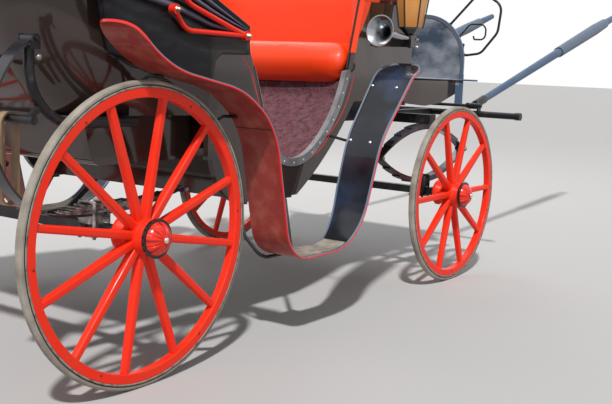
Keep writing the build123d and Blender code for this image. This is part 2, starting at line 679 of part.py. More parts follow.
glass = loft([six(lamp_low, lamp_low_r), six(lamp_high, lamp_r)])
glass_in = loft([six(lamp_low, lamp_low_r - 4), six(lamp_high, lamp_r - 4)])
case = loft([six(lamp_low - 44, 16), six(lamp_low - 8, lamp_low_r)])
case += Pos(0, 0, lamp_low - 8) * extrude(RegularPolygon(lamp_low_r + 3, 6), 8)
case += Pos(0, 0, lamp_high) * extrude(RegularPolygon(lamp_r + 6, 6), 10)
case += loft([six(lamp_high + 10, lamp_r), six(lamp_high + 60, 26)])
case += Pos(0, 0, lamp_high + 75) * Cylinder(22, 34)
case += Pos(0, 0, lamp_high + 96) * Sphere(16)
for i in range(6):
    turn_i = math.radians(60 * i)
    low_r = lamp_low_r + 4.6
    high_r = lamp_r + 4.6
    case += rod([(low_r * math.cos(turn_i), low_r * math.sin(turn_i), lamp_low - 4),
                 (high_r * math.cos(turn_i), high_r * math.sin(turn_i), lamp_high + 4)], 3.5)
case += Pos(0, 0, lamp_low - 66) * Cylinder(11, 60)
bracket_back = -25.0
case += block(bracket_back, 25, -18, lamp_y - half_w, lamp_low - 92, lamp_low - 38)
place = Pos(lamp_x, -lamp_y, 0)
keep("lamp_cases", pair(place * case))
keep("lamp_glasses", pair(place * (glass - glass_in)))

# Horn: a flared bell that faces back, on the lamp's bracket

horn_z = lamp_low - 50
horn_tilt = 5.5
horn_face = make_face([
    Line((-230, 0), (-230, 70)), ThreePointArc((-230, 70), (-190, 34), (-110, 18)), Line((-110, 18), (30, 12)),
    Line((30, 12), (30, 0)), Line((30, 0), (-230, 0))])
bell_in = make_face([
    Line((-231, 0), (-231, 67)), ThreePointArc((-231, 67), (-190, 31), (-110, 15)), Line((-110, 15), (-60, 0)),
    Line((-60, 0), (-231, 0))])
horn = revolve(horn_face, Axis.X) - revolve(bell_in, Axis.X)
horn = Pos(lamp_x + bracket_back - 25, -lamp_y, horn_z) * Rot(0, horn_tilt, 0) * horn
keep("horn", horn - block(lamp_x + bracket_back - seat_gap, lamp_x + 60, -lamp_y - 30, -lamp_y + 30, horn_z - 40, horn_z + 40))

# Scrolls: wrought iron curls against the front of the dash, at each edge

scroll_r = 6.5
curl_r = 4.5
rim_front = dash_x + dash_t + 7
scroll_x = rim_front + 12


def rim_y(z):
    # The middle of the dash's rim at a height in its rounded upper corner.
    rise_there = z - (dash_high - dash_corner)
    return -(dash_half - dash_corner + math.sqrt((dash_corner - 5) ** 2 - rise_there ** 2))


outer_curl = [(rim_y(1192), 1192), (-555, 1135), (-660, 1150), (-750, 1260), (-765, 1400), (-640, 1475),
              (rim_y(1300), 1300)]
inner_curl = [(rim_y(1238), 1238), (-590, 1302), (-684, 1302), (-680, 1222), (-618, 1222), (-612, 1240)]
scroll = rod([(scroll_x, y, z) for y, z in outer_curl], scroll_r, [22, 60, 70, 60, 70])
scroll += rod([(scroll_x, y, z) for y, z in inner_curl], curl_r, [30, 34, 28, 4])
for z in (1192, 1238, 1300):
    scroll += Pos((rim_front + seat_gap + scroll_x) / 2, rim_y(z), z) * Rot(0, 90, 0) * Cylinder(
        8, scroll_x - rim_front - seat_gap)
    scroll += Pos(scroll_x, rim_y(z), z) * Sphere(9)
keep("scrolls", pair(scroll))

# Crossbar: a round bar behind the tub, lugged to both body irons, with two hanging straps

cross_x = -1372.0
cross_z = 866.0
cross_r = 14.0
cross = bar_y(cross_x, cross_z, cross_r, -cee_y - 30, cee_y + 30)
lug = block(cross_x, cross_x + 60, -9, 9, cross_z - 9, cross_z + 9)
lug = Pos(cross_x, 0, cross_z) * Rot(0, -45, 0) * Pos(-cross_x, 0, -cross_z) * lug
for side in (-1, 1):
    cross += Pos(0, side * cee_y, 0) * lug
keep("crossbar", cross - iron - mirror(iron, about=Plane.XZ))

strap_w = 34.0
strap_thick = 6.0
strap_drop = 230.0
strap_rows = (-400.0, -330.0)
loop_r = cross_r + seat_gap
straps = []
for y in strap_rows:
    half = 28.0
    outer_loop = SlotCenterToCenter(strap_drop, 2 * (half + strap_thick), rotation=90)
    inner_loop = SlotCenterToCenter(strap_drop, 2 * half, rotation=90)
    loop = extrude(Plane.XZ * (outer_loop - inner_loop), strap_w / 2, both=True)
    top = cross_z + loop_r + strap_thick - (strap_drop / 2 + half + strap_thick)
    straps.append(Pos(cross_x, y, top) * loop)
keep("strap_loops", Compound(children=straps))

# Turning gear on the body: two bearers, a transom, the upper ring and the king pin

ring_low = ring_z + rub_gap / 2
ring_high = ring_low + ring_t
ring_cut = Cylinder(ring_r - ring_w, 3 * ring_t)
upper = Pos(front_x, 0, ring_low + ring_t / 2) * (Cylinder(ring_r, ring_t) - ring_cut)
for side in (-1, 1):
    low, high = sorted((side * (bearer_y - bearer_w / 2), side * (bearer_y + bearer_w / 2)))
    upper += block(bearer_back, bearer_front, low, high, ring_high, box_z)
upper += block(front_x - transom_w / 2, front_x + transom_w / 2, -bearer_y, bearer_y, ring_high, box_z)
keep("upper_turntable", upper)

bolster_top = ring_z - rub_gap / 2 - ring_t
stack_of_front = 3 * front_leaf_t
upper_leaf = spring_mid + spring_open
bolster_low = upper_leaf + front_leaf_t / 2 + stack_of_front
king = Pos(front_x, 0, (bolster_low - 30 + ring_high) / 2) * Cylinder(king_r, ring_high - bolster_low + 30)
king += Pos(front_x, 0, bolster_low - 18) * extrude(RegularPolygon(27, 6), 16)
keep("king_pin", king)

# Turning gear on the fore-carriage: lower ring, futchells and bolster in one

lower = Pos(front_x, 0, bolster_top + ring_t / 2) * (Cylinder(ring_r, ring_t) - ring_cut)
lower += block(front_x - bolster_w / 2, front_x + bolster_w / 2, -bolster_half, bolster_half, bolster_low, bolster_top)
futchell_front = bar_x + 34
for side in (-1, 1):
    low, high = sorted((side * (futchell_y - futchell_w / 2), side * (futchell_y + futchell_w / 2)))
    lower += block(futchell_back, futchell_front, low, high, bolster_top - futchell_h, bolster_top)
bar = bar_y(bar_x, bar_z, bar_r, -bar_half, bar_half)
lower -= Pos(front_x, 0, bolster_low) * Cylinder(king_r + king_gap, 400)
lower -= bar
keep("fore_frame", lower)

# Elliptic springs, with their seats on the front axle

rise = spring_open
half_span = spring_half


def bow(t_low, t_high, reach):
    # One leaf of the lower half: a slice of the bow between two depths, cut at a reach.
    sag_r = (half_span ** 2 + rise ** 2) / (2 * rise)
    cx, cz = front_x, spring_mid - rise + sag_r
    angle = math.degrees(math.asin(reach / sag_r))
    return arc_band(cx, cz, sag_r + (t_low + t_high) / 2, t_high - t_low, 270 - angle, 270 + angle)


# depth outside the long leaf in leaves, and reach from the axle
bow_rows = [(0, half_span), (1, 0.80 * half_span), (2, 0.58 * half_span), (3, 0.36 * half_span)]
half_spring = None
for step, reach in bow_rows:
    t0 = (step - 0.5) * front_leaf_t
    leaf = slab(bow(t0, t0 + front_leaf_t, reach), -spring_y - spring_w / 2, -spring_y + spring_w / 2)
    half_spring = leaf if half_spring is None else half_spring + leaf
middle = Plane.XY.offset(spring_mid)
elliptic = half_spring + mirror(half_spring, about=middle)
for side in (-1, 1):
    elliptic += bar_y(front_x + side * half_span, spring_mid, 14, -spring_y - spring_w / 2 - 6,
                      -spring_y + spring_w / 2 + 6)
keep("elliptic_springs", pair(elliptic))
keep("front_spring_clips", pair(spring_clip(front_x, -spring_y, spring_w, front_r, spring_mid - rise,
                                            spring_mid - rise + front_leaf_t / 2 + 6, elliptic)))

# Splinter bar with the hinge brackets of the shafts

bar += bar_y(bar_x, bar_z, bar_r + 3, -bar_half, -bar_half + 30)
bar += bar_y(bar_x, bar_z, bar_r + 3, bar_half - 30, bar_half)
for y in (-shaft_y - 36, -shaft_y + 36, shaft_y - 36, shaft_y + 36):
    bar += block(bar_x - 17, bar_x + 17, y - 5, y + 5, bar_z, hinge_z)
    bar += bar_y(bar_x, hinge_z, 17, y - 5, y + 5)
bar -= bar_y(bar_x, hinge_z, hinge_r + hinge_gap, -bar_half, bar_half)
keep("splinter_bar", bar)

# Shafts: two tapered poles on one long hinge pin

turn = Rot(0, 90 - shaft_rise, 0)


def along(start, end, r0, r1):
    # A round taper along the shaft, from one distance from the hinge pin to another.
    return loft([Plane.XY.offset(start) * Circle(r0), Plane.XY.offset(end) * Circle(r1)])


def pole_r(distance):
    share = (distance - shaft_start) / (shaft_swell - shaft_start)
    if distance > shaft_swell:
        return shaft_r + (shaft_tip_r - shaft_r) * (distance - shaft_swell) / (shaft_len - shaft_swell)
    return shaft_foot_r + (shaft_r - shaft_foot_r) * share


sleeve_end = sleeve_start + sleeve_len
pole = along(shaft_start, shaft_swell, shaft_foot_r, shaft_r)
pole += along(shaft_swell, shaft_len, shaft_r, shaft_tip_r)
pole += Pos(0, 0, shaft_len) * Sphere(shaft_tip_r)
foot = Pos(bar_x, -shaft_y, hinge_z) * turn
strap = bar_y(0, 0, 17, -20, 20) + block(-14, 14, -20, 20, 0, shaft_start)
strap += along(shaft_start - 12, shaft_start + 100, shaft_foot_r + 4, shaft_foot_r + 5)
sleeve = along(sleeve_start, shaft_swell, pole_r(sleeve_start) + sleeve_t, shaft_r + sleeve_t)
sleeve += along(shaft_swell, sleeve_end, shaft_r + sleeve_t, pole_r(sleeve_end) + sleeve_t)
sleeve -= pole
strap -= pole
keep("shaft_poles", pair(foot * pole))
pin = bar_y(bar_x, hinge_z, hinge_r, -hinge_half, hinge_half)
strap_at = foot * strap
keep("shaft_irons", strap_at + mirror(strap_at, about=Plane.XZ) + pin)
keep("shaft_sleeves", pair(foot * sleeve))

os.makedirs("parts", exist_ok=True)
for name, shape in parts.items():
    export_step(shape, "parts/" + name + ".step")
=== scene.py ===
import json
import math

import bmesh
import bpy
from mathutils import Matrix, Vector
from mathutils.bvhtree import BVHTree


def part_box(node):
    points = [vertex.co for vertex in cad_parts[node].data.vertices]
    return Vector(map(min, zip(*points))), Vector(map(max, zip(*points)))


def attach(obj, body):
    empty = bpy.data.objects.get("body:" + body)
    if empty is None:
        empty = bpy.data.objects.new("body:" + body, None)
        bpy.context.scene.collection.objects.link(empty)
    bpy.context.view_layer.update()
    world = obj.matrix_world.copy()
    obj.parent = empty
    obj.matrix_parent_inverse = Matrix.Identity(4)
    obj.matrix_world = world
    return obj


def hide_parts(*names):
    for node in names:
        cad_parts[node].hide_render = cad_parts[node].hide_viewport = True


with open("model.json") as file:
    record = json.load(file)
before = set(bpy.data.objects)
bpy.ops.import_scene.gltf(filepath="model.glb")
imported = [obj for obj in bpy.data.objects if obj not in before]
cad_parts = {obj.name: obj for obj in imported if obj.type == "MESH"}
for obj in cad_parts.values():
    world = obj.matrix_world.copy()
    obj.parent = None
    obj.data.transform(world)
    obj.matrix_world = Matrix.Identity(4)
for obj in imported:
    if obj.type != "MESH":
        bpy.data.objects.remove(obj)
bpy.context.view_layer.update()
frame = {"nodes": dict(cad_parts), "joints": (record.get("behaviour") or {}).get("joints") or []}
nodes = frame["nodes"]
joint_of = {joint["name"]: joint for joint in frame["joints"]}

# Wheels: turned and shaved wood, glued and cramped in the rim, under several coats of orange red
# enamel rubbed down between coats. Lengths along the carriage are given from the middle of the
# wheelbase, as its maker would set it out, and moved to the frame by from_middle.
rear_hub = Vector(joint_of["rear_near_spin"]["pos_m"])
front_hub = Vector(joint_of["front_near_spin"]["pos_m"])
from_middle = (rear_hub.x + front_hub.x) / 2
sides = {"near": -1, "far": 1}
wheels = {"rear_near": -1, "rear_far": 1, "front_near": -1, "front_far": 1}


def at(x, y, z):
    return Vector((x + from_middle, y, z))


class Value:
    """A socket of a shader, with the maths that a painter's recipe needs."""

    def __init__(self, finish, socket):
        self.finish = finish
        self.socket = socket

    def maths(self, operation, other=0.0, third=0.0):
        return self.finish.add("Math", {"operation": operation}, {0: self, 1: other, 2: third})

    def __add__(self, other):
        return self.maths("ADD", other)

    def __radd__(self, other):
        return self.maths("ADD", other)

    def __sub__(self, other):
        return self.maths("SUBTRACT", other)

    def __rsub__(self, other):
        return self.maths("MULTIPLY_ADD", -1.0, other)

    def __mul__(self, other):
        return self.maths("MULTIPLY", other)

    def __rmul__(self, other):
        return self.maths("MULTIPLY", other)

    def __gt__(self, other):
        return self.maths("GREATER_THAN", other)

    def __lt__(self, other):
        return self.maths("LESS_THAN", other)

    def __abs__(self):
        return self.maths("ABSOLUTE")


class Finish:
    """One paint, metal, leather or cloth: a plain surface, and what is added to it."""

    def __init__(self, name, colour, roughness, metallic=0.0, coat=0.0, specular=0.5, sheen=0.0):
        self.material = bpy.data.materials.new(name)
        self.material.use_nodes = True
        self.tree = self.material.node_tree
        self.surface = self.tree.nodes["Principled BSDF"]
        self.place = None
        for socket, value in (("Base Color", (*colour, 1)), ("Roughness", roughness), ("Metallic", metallic),
                              ("Coat Weight", coat), ("Coat Roughness", 0.06), ("Sheen Weight", sheen),
                              ("Specular IOR Level", specular)):
            self.plain(socket, value)

    def plain(self, socket, value):
        self.surface.inputs[socket].default_value = value

    def add(self, kind, settings=None, inputs=None, out=0):
        """One output of a new node, whose settings are made before its inputs."""
        node = self.tree.nodes.new("ShaderNode" + kind)
        for key, value in (settings or {}).items():
            setattr(node, key, value)
        for key, value in (inputs or {}).items():
            if isinstance(value, Value):
                self.tree.links.new(value.socket, node.inputs[key])
            else:
                node.inputs[key].default_value = value
        return Value(self, node.outputs[out])

    def where(self):
        if self.place is None:
            self.place = self.add("TexCoord", out="Object")
        return self.place

    def axis(self, letter, vector=None):
        return self.add("SeparateXYZ", inputs={0: vector or self.where()}, out=letter)

    def noise(self, scale, detail=3.0, stretch=(1, 1, 1)):
        spread = self.add("Mapping", inputs={"Vector": self.where(), "Scale": stretch})
        return self.add("TexNoise", inputs={"Vector": spread, "Scale": scale, "Detail": detail})

    def between(self, value, low, high):
        return self.add("MapRange", {"clamp": True}, {0: value, 1: low, 2: high, 3: 0.0, 4: 1.0})

    def patches(self, scale, detail, low, high, stretch=(1, 1, 1)):
        """A cloudy mask that rises from none to all between two levels of noise."""
        return self.between(self.noise(scale, detail, stretch), low, high)

    def mix(self, share, first, second):
        first = (*first, 1) if isinstance(first, tuple) and len(first) == 3 else first
        second = (*second, 1) if isinstance(second, tuple) and len(second) == 3 else second
        return self.add("Mix", {"data_type": "RGBA"}, {0: share, 6: first, 7: second}, 2)

    def give(self, socket, value):
        self.tree.links.new(value.socket, self.surface.inputs[socket])

    def shade(self, share, first, second):
        self.give("Base Color", self.mix(share, first, second))

    def bump(self, height, distance, strength=1.0):
        raised = self.add("Bump", inputs={"Strength": strength, "Distance": distance, "Height": height})
        self.give("Normal", raised)


def dress(node, finish):
    mesh = nodes[node].data
    mesh.materials.clear()
    mesh.materials.append(finish.material)
    for face in mesh.polygons:
        face.material_index = 0


def enamel(name, colour, dusty, dust=0.25, roughness=0.22):
    """Gloss paint, a little dulled and dusty in patches."""
    paint = Finish(name, colour, roughness, coat=0.07, specular=0.16)
    cloud = paint.patches(9.0, 5.0, 0.45, 0.75)
    paint.shade(cloud * dust, colour, dusty)
    paint.give("Roughness", roughness + cloud * 0.2)
    paint.bump(paint.noise(160.0), 0.0004, 0.25)
    return paint


wheel_red = (0.88, 0.028, 0.008)
wheel_paint = enamel("wheel_enamel", wheel_red, (0.60, 0.065, 0.03), 0.35, 0.32)
for name in wheels:
    dress("wheel_" + name, wheel_paint)

# Tyres: solid grey rubber, worn pale with dust, pressed into a rolled steel channel that is shrunk on
# the wooden rim. A near-black ring set in the groove between the channel's lip and the rubber is
# painted shade.
tyre_rubber = Finish("tyre_rubber", (0.42, 0.37, 0.32), 0.85, specular=0.15)
worn = tyre_rubber.mix(tyre_rubber.patches(14.0, 6.0, 0.3, 0.7), (0.21, 0.18, 0.15), (0.40, 0.355, 0.30))
nick = tyre_rubber.noise(30.0, 2.0) > 0.76
tyre_rubber.shade(nick * 0.8, worn, (0.06, 0.05, 0.04))
tyre_rubber.bump(tyre_rubber.noise(90.0, 4.0), 0.001, 0.6)
channel_steel = Finish("channel_steel", (0.36, 0.33, 0.30), 0.65, metallic=0.1, specular=0.2)
rust = channel_steel.patches(40.0, 5.0, 0.45, 0.7)
channel_steel.shade(rust, (0.30, 0.27, 0.24), (0.12, 0.10, 0.085))
# painted shade: a near-black ring darkens the groove between the channel's lip and the rubber
groove_dirt = Finish("groove_dirt", (0.035, 0.030, 0.025), 0.95, specular=0.1)


def placed(name, data):
    """A mesh, a light or a camera as an object of the scene."""
    thing = bpy.data.objects.new(name, data)
    bpy.context.scene.collection.objects.link(thing)
    return thing


def mesh_piece(name, shape, body, slot, *finishes, smooth=True):
    """A finished mesh becomes a piece that rides on a body and takes the finishes given; the slot is not
    used.
    """
    mesh = bpy.data.meshes.new(name)
    shape.to_mesh(mesh)
    shape.free()
    return join_piece(name, mesh, body, slot, *finishes, smooth=smooth)


def join_piece(name, mesh, body, slot, *finishes, smooth=True):
    piece = placed(name, mesh)
    mesh.materials.clear()
    for finish in finishes:
        mesh.materials.append(finish.material)
    if smooth:
        for face in mesh.polygons:
            face.use_smooth = True
    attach(piece, body)
    return piece


def banded(shape, rings):
    """Faces between closed rings of points, each joined to the next and the last to the first."""
    for here, there in zip(rings, rings[1:] + rings[:1]):
        for i in range(len(here)):
            j = (i + 1) % len(here)
            shape.faces.new((here[i], here[j], there[j], there[i]))


def turned(shape, outline, centre, steps=96):
    """A closed outline of (radius, place along Y) spun round an axis through the centre, as on a lathe."""
    rings = []
    for step in range(steps):
        a = 2 * math.pi * step / steps
        rings.append([shape.verts.new(centre + Vector((r * math.cos(a), along, r * math.sin(a))))
                      for r, along in outline])
    banded(shape, rings)


def closed_up(shape, apart=1e-6):
    bmesh.ops.remove_doubles(shape, verts=shape.verts, dist=apart)
    bmesh.ops.recalc_face_normals(shape, faces=shape.faces)
    return shape


tyre_height = 0.022
felloe_half = 0.016
for name in wheels:
    dress("tyre_" + name, tyre_rubber)
    low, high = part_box("tyre_" + name)
    hub = (low + high) / 2
    radius = (high.z - low.z) / 2
    seat = radius - tyre_height
    shape = bmesh.new()
    # the ring of painted shade in the groove
    shade_ring = bmesh.new()
    for side in (-1, 1):
        for made, inner, outer, foot, top in ((shape, -0.0014, 0.0005, -0.0008, 0.0054),
                                              (shade_ring, -0.0014, -0.0008, 0.0055, 0.0086)):
            near = side * (felloe_half + inner)
            out = side * (felloe_half + outer)
            low_r = seat + foot
            high_r = seat + top
            turned(made, [(low_r, near), (high_r, near), (high_r, out), (low_r, out)], hub)
    mesh_piece("tyre_channel_" + name, closed_up(shape), "wheel_" + name, "black_iron", channel_steel)
    mesh_piece("tyre_groove_" + name, closed_up(shade_ring), "wheel_" + name, "tyre_rubber", groove_dirt)

# Rim rivets: iron rivets through the felloe joints, halfway between spokes, with dark painted heads.
# They hold the wooden felloes to the tyre's channel.
rivet_radius = 0.0048


def wire(tree, *pairs):
    for giver, given in pairs:
        tree.links.new(giver, given)


def node_in(tree, kind, values=None):
    node = tree.nodes.new(kind)
    for label, value in (values or {}).items():
        node.inputs[label].default_value = value
    return node


def empty_tree(name, with_line, **sizes):
    """A tree with a socket for each size and for the finish, which is laid on before the result."""
    tree = bpy.data.node_groups.new(name, "GeometryNodeTree")
    socket = tree.interface.new_socket
    if with_line:
        socket("Geometry", in_out="INPUT", socket_type="NodeSocketGeometry")
    keys = {}
    for label, size in sizes.items():
        kind = "NodeSocketInt" if isinstance(size, int) else "NodeSocketFloat"
        item = socket(label, in_out="INPUT", socket_type=kind)
        item.default_value = size
        keys[label] = item.identifier
    keys["finish"] = socket("finish", in_out="INPUT", socket_type="NodeSocketMaterial").identifier
    socket("Geometry", in_out="OUTPUT", socket_type="NodeSocketGeometry")
    given = node_in(tree, "NodeGroupInput")
    paint = node_in(tree, "GeometryNodeSetMaterial")
    result = node_in(tree, "NodeGroupOutput")
    wire(tree, (given.outputs["finish"], paint.inputs["Material"]), (paint.outputs[0], result.inputs[0]))
    return tree, keys, given, paint


def heads_on(tree, given, paint, points, flattened):
    """Round heads on the points that another node gives, flattened and made real."""
    head = node_in(tree, "GeometryNodeMeshUVSphere", {"Segments": 10, "Rings": 6})
    spread = node_in(tree, "GeometryNodeInstanceOnPoints", {"Scale": flattened})
    real = node_in(tree, "GeometryNodeRealizeInstances")
    wire(tree, (given.outputs["head"], head.inputs["Radius"]), (points, spread.inputs["Points"]),
         (head.outputs["Mesh"], spread.inputs["Instance"]), (spread.outputs[0], real.inputs[0]),
         (real.outputs[0], paint.inputs["Geometry"]))


def even_steps(tree, given, label):
    """The tree's line, cut into steps of a given length."""
    line = node_in(tree, "GeometryNodeMeshToCurve")
    even = node_in(tree, "GeometryNodeResampleCurve")
    even.mode = "LENGTH"
    wire(tree, (given.outputs[0], line.inputs[0]), (line.outputs[0], even.inputs["Curve"]),
         (given.outputs[label], even.inputs["Length"]))
    return even.outputs[0]


def rivet_ring_tree():
    """Rivet heads at even angles round a level circle, flattened from above."""
    tree, keys, given, paint = empty_tree("rim_rivets", False, count=12, radius=0.5, head=0.005)
    ring = node_in(tree, "GeometryNodeMeshCircle")
    wire(tree, (given.outputs["count"], ring.inputs["Vertices"]),
         (given.outputs["radius"], ring.inputs["Radius"]))
    heads_on(tree, given, paint, ring.outputs[0], (1, 1, 0.45))
    return tree, keys


def stud_line_tree():
    """Stud heads a set distance apart along a line of edges, flattened along Y."""
    tree, keys, given, paint = empty_tree("stud_line", True, gap=0.07, head=0.004)
    heads_on(tree, given, paint, even_steps(tree, given, "gap"), (1, 0.45, 1))
    return tree, keys


def cord_line_tree():
    """A round line of paint, piping or wire that follows a line of edges."""
    tree, keys, given, paint = empty_tree("cord_line", True, radius=0.002, step=0.01)
    profile = node_in(tree, "GeometryNodeCurvePrimitiveCircle", {"Resolution": 8})
    swept = node_in(tree, "GeometryNodeCurveToMesh", {"Fill Caps": True})
    wire(tree, (given.outputs["radius"], profile.inputs["Radius"]),
         (even_steps(tree, given, "step"), swept.inputs["Curve"]),
         (profile.outputs[0], swept.inputs["Profile Curve"]), (swept.outputs[0], paint.inputs["Geometry"]))
    return tree, keys


def as_made(piece):
    """The plain mesh that a piece's modifiers make of it."""
    bpy.context.view_layer.update()
    made = piece.evaluated_get(bpy.context.evaluated_depsgraph_get())
    return bpy.data.meshes.new_from_object(made)


def grown(recipe, finish, lines=(), points=(), edges=(), **values):
    """The plain mesh that a tree makes from these values, along these lines or edges."""
    tree, keys = recipe
    start = bpy.data.meshes.new("maker")
    points = list(points)
    edges = list(edges)
    for line in lines:
        edges += [(len(points) + i, len(points) + i + 1) for i in range(len(line) - 1)]
        points += line
    start.from_pydata(points, edges, [])
    maker = placed("maker", start)
    modifier = maker.modifiers.new("maker", "NODES")
    modifier.node_group = tree
    modifier[keys["finish"]] = finish.material
    for label, value in values.items():
        modifier[keys[label]] = value
    mesh = as_made(maker)
    bpy.data.objects.remove(maker)
    return mesh


rivet_ring = rivet_ring_tree()
stud_line = stud_line_tree()
cord_line = cord_line_tree()
rivet_red = Finish("rivet_red", (0.20, 0.010, 0.008), 0.6)
felloe_height = 0.033
for name, side in wheels.items():
    heads, from_upright = (6, 25.2) if name.startswith("rear") else (5, 35.6)
    low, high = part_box("tyre_" + name)
    hub = (low + high) / 2
    middle = (high.z - low.z) / 2 - tyre_height - felloe_height * 0.66
    mesh = grown(rivet_ring, rivet_red, count=heads, radius=middle, head=rivet_radius)
    face = Vector((0, side * felloe_half, 0))
    first = math.radians(90 + side * from_upright)
    turn = Matrix.Rotation(-first, 4, "Y") @ Matrix.Rotation(math.pi / 2, 4, "X")
    mesh.transform(Matrix.Translation(hub + face) @ turn)
    join_piece("rim_rivets_" + name, mesh, "wheel_" + name, "red_paint", rivet_red)

# Hub caps: cast brass painted red, with eight lobes round a bright pin. Each is screwed into the hub's
# black iron band and keeps the grease in.
cap_red = Finish("hub_cap_enamel", (0.80, 0.022, 0.012), 0.25, coat=0.25, specular=0.3)
low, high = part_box("hub_cap_rear_near")
band_width = 0.011
band_end = abs(high.y) + band_width
cap_edge = cap_red.between(abs(cap_red.axis("Y")), band_end, band_end + 0.0005)
ahead = cap_red.axis("X") > from_middle
along = cap_red.axis("X") - (rear_hub.x + ahead * (front_hub.x - rear_hub.x))
above = cap_red.axis("Z") - (rear_hub.z + ahead * (front_hub.z - rear_hub.z))
cap_lobes = 8
lobe_turn = above.maths("ARCTAN2", along) * (cap_lobes / (2 * math.pi))
from_groove = abs((lobe_turn + (cap_lobes + 0.5)).maths("FRACT") - 0.5)
out_from_pin = (along * along + above * above).maths("POWER", 0.5)
# painted shade: the grooves between the lobes are darkened, away from the pin
valley_shade = (1.0 - cap_red.between(from_groove, 0.03, 0.20)) * cap_red.between(out_from_pin, 0.012, 0.020)
lobes_and_shade = cap_red.mix(valley_shade * 0.85, (0.86, 0.028, 0.010), (0.20, 0.004, 0.004))
cap_red.shade(cap_edge, (0.012, 0.011, 0.011), lobes_and_shade)
for name in wheels:
    dress("hub_cap_" + name, cap_red)
bright_steel = Finish("bright_steel", (0.72, 0.72, 0.70), 0.22, metallic=1.0)
for name, side in wheels.items():
    low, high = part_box("hub_cap_" + name)
    hub = (low + high) / 2
    outer = low.y if side < 0 else high.y
    shape = bmesh.new()
    button = [(0.0, 0.004), (0.0085, 0.003), (0.0105, 0.0), (0.0085, -0.006), (0.0, -0.006)]
    turned(shape, [(r, side * along) for r, along in button], Vector((hub.x, outer, hub.z)), steps=24)
    mesh_piece("cap_pin_" + name, closed_up(shape), "wheel_" + name, "bright_metal", bright_steel)

# Axles, springs and irons: forged steel under black paint, worn to grey and brown where the leaves
# rub and where feet and stones strike.
iron_black = Finish("iron_black", (0.016, 0.016, 0.018), 0.38, metallic=0.1, coat=0.1, specular=0.3)
scuffs = iron_black.patches(22.0, 6.0, 0.60, 0.74)
iron_black.shade(scuffs * 0.35, (0.016, 0.016, 0.018), (0.13, 0.12, 0.11))
iron_black.bump(iron_black.noise(70.0), 0.001, 0.3)
worn_steel = Finish("worn_steel", (0.20, 0.18, 0.17), 0.5, metallic=0.3, specular=0.3)
wiped = worn_steel.patches(26.0, 5.0, 0.40, 0.66)
worn_steel.shade(wiped, (0.035, 0.032, 0.032), (0.42, 0.39, 0.37))
worn_steel.bump(worn_steel.noise(90.0), 0.001, 0.4)
for name in ("rear_axle", "front_axle", "front_spring_clips", "body_irons", "step_irons",
             "guard_stays", "upper_turntable", "king_pin", "fore_frame", "splinter_bar", "shaft_irons",
             "crossbar", "driver_rail", "scrolls"):
    dress(name, iron_black)
dress("rear_spring_clips", worn_steel)


def leaf_paint(name, centre, first, leaf, dark, worn, much, gaps=0.0, folded=None, highest=1.0):
    """Paint on a stack of bent leaves: smooth on the long leaf, rubbed through and lined with painted shade
    on the rest.

    The leaves lie round a centre, each a leaf's thickness from the first one's radius. A stack that is
    folded about a height has its upper half's leaves mirrored, and none lies above the highest.
    """
    paint = Finish(name, dark, 0.30, metallic=0.1, coat=0.3, specular=0.4)
    along = paint.axis("X") - centre.x
    upward = paint.axis("Z")
    if folded is not None:
        upward = folded - abs(upward - folded)
    above = upward - centre.z
    radius = (along * along + above * above).maths("POWER", 0.5)
    depth = (radius - first) * (1 / leaf) if folded is not None else (first - radius) * (1 / leaf)
    stacked = (depth > 0.02) * (paint.axis("Z") < highest)
    # painted shade: thin near-black lines in the gaps between the leaves
    gap = stacked * (depth.maths("FRACT") < gaps)
    rubbed = paint.patches(34.0, 5.0, 0.40, 0.60, (1, 1, 2)) * stacked * much
    coat = paint.mix(rubbed, dark, worn)
    paint.shade(gap, coat, (0.012, 0.009, 0.008))
    paint.give("Roughness", 0.26 + stacked * 0.25)
    return paint


bed_radius = 1.6
rear_bed = at(-1.1, 0, 0.548 + bed_radius)
spring_paint = leaf_paint("spring_paint", rear_bed, bed_radius - 0.004, 0.006, (0.022, 0.022, 0.027),
                          (0.34, 0.27, 0.23), 0.75, gaps=0.22, highest=0.61)
bow_half = 0.44
bow_rise = 0.126
bow_eyes = 0.632
bow_radius = (bow_half ** 2 + bow_rise ** 2) / (2 * bow_rise)
front_bow = at(1.1, 0, bow_eyes - bow_rise + bow_radius)
bow_paint = leaf_paint("bow_paint", front_bow, bow_radius + 0.0035, 0.007, (0.020, 0.020, 0.026),
                       (0.08, 0.08, 0.095), 0.35, folded=bow_eyes, highest=0.9)
dress("cee_springs", spring_paint)
dress("elliptic_springs", bow_paint)

# Nuts and pins: turned steel, left bright. Acorn nuts close the bolts of the hood's red irons and of
# the lamp brackets, and domed pins go through the eyes of the springs.
nut_steel = Finish("nut_steel", (0.50, 0.46, 0.38), 0.3, metallic=0.9)
pin_steel = Finish("pin_steel", (0.24, 0.24, 0.26), 0.3, metallic=0.8)


def acorn(r):
    return [(0.0, -0.004), (r * 1.25, -0.004), (r * 1.25, 0.003), (r, 0.004), (r * 0.9, 0.010),
            (r * 0.5, 0.015), (0.0, 0.0165)]


def dome(r):
    return [(0.0, -0.003), (r, -0.003), (r * 0.96, 0.003), (r * 0.7, 0.007), (0.0, 0.009)]


nut_places = ((-0.486, 0.6443, 1.160, 0.008), (-0.870, 0.6443, 1.233, 0.008), (-0.960, 0.6443, 1.400, 0.008),
              (0.745, 0.664, 1.195, 0.006), (0.745, 0.664, 1.160, 0.006))
cee_places = ((-1.370, 0.549, 1.058, 0.011), (-0.700, 0.549, 0.599, 0.009))
bow_places = ((1.540, 0.5690, 0.632, 0.009), (0.660, 0.5690, 0.632, 0.009))
for name, body, outline, steel, places in (("acorn_nuts", "carriage", acorn, nut_steel, nut_places),
                                           ("cee_pins", "carriage", dome, pin_steel, cee_places),
                                           ("bow_pins", "fore_carriage", dome, pin_steel, bow_places)):
    shape = bmesh.new()
    for x, y, z, r in places:
        for side in (-1, 1):
            turned(shape, [(radius, side * out) for radius, out in outline(r)], at(x, side * y, z), steps=20)
    mesh_piece(name, closed_up(shape), body, "bright_metal", steel)

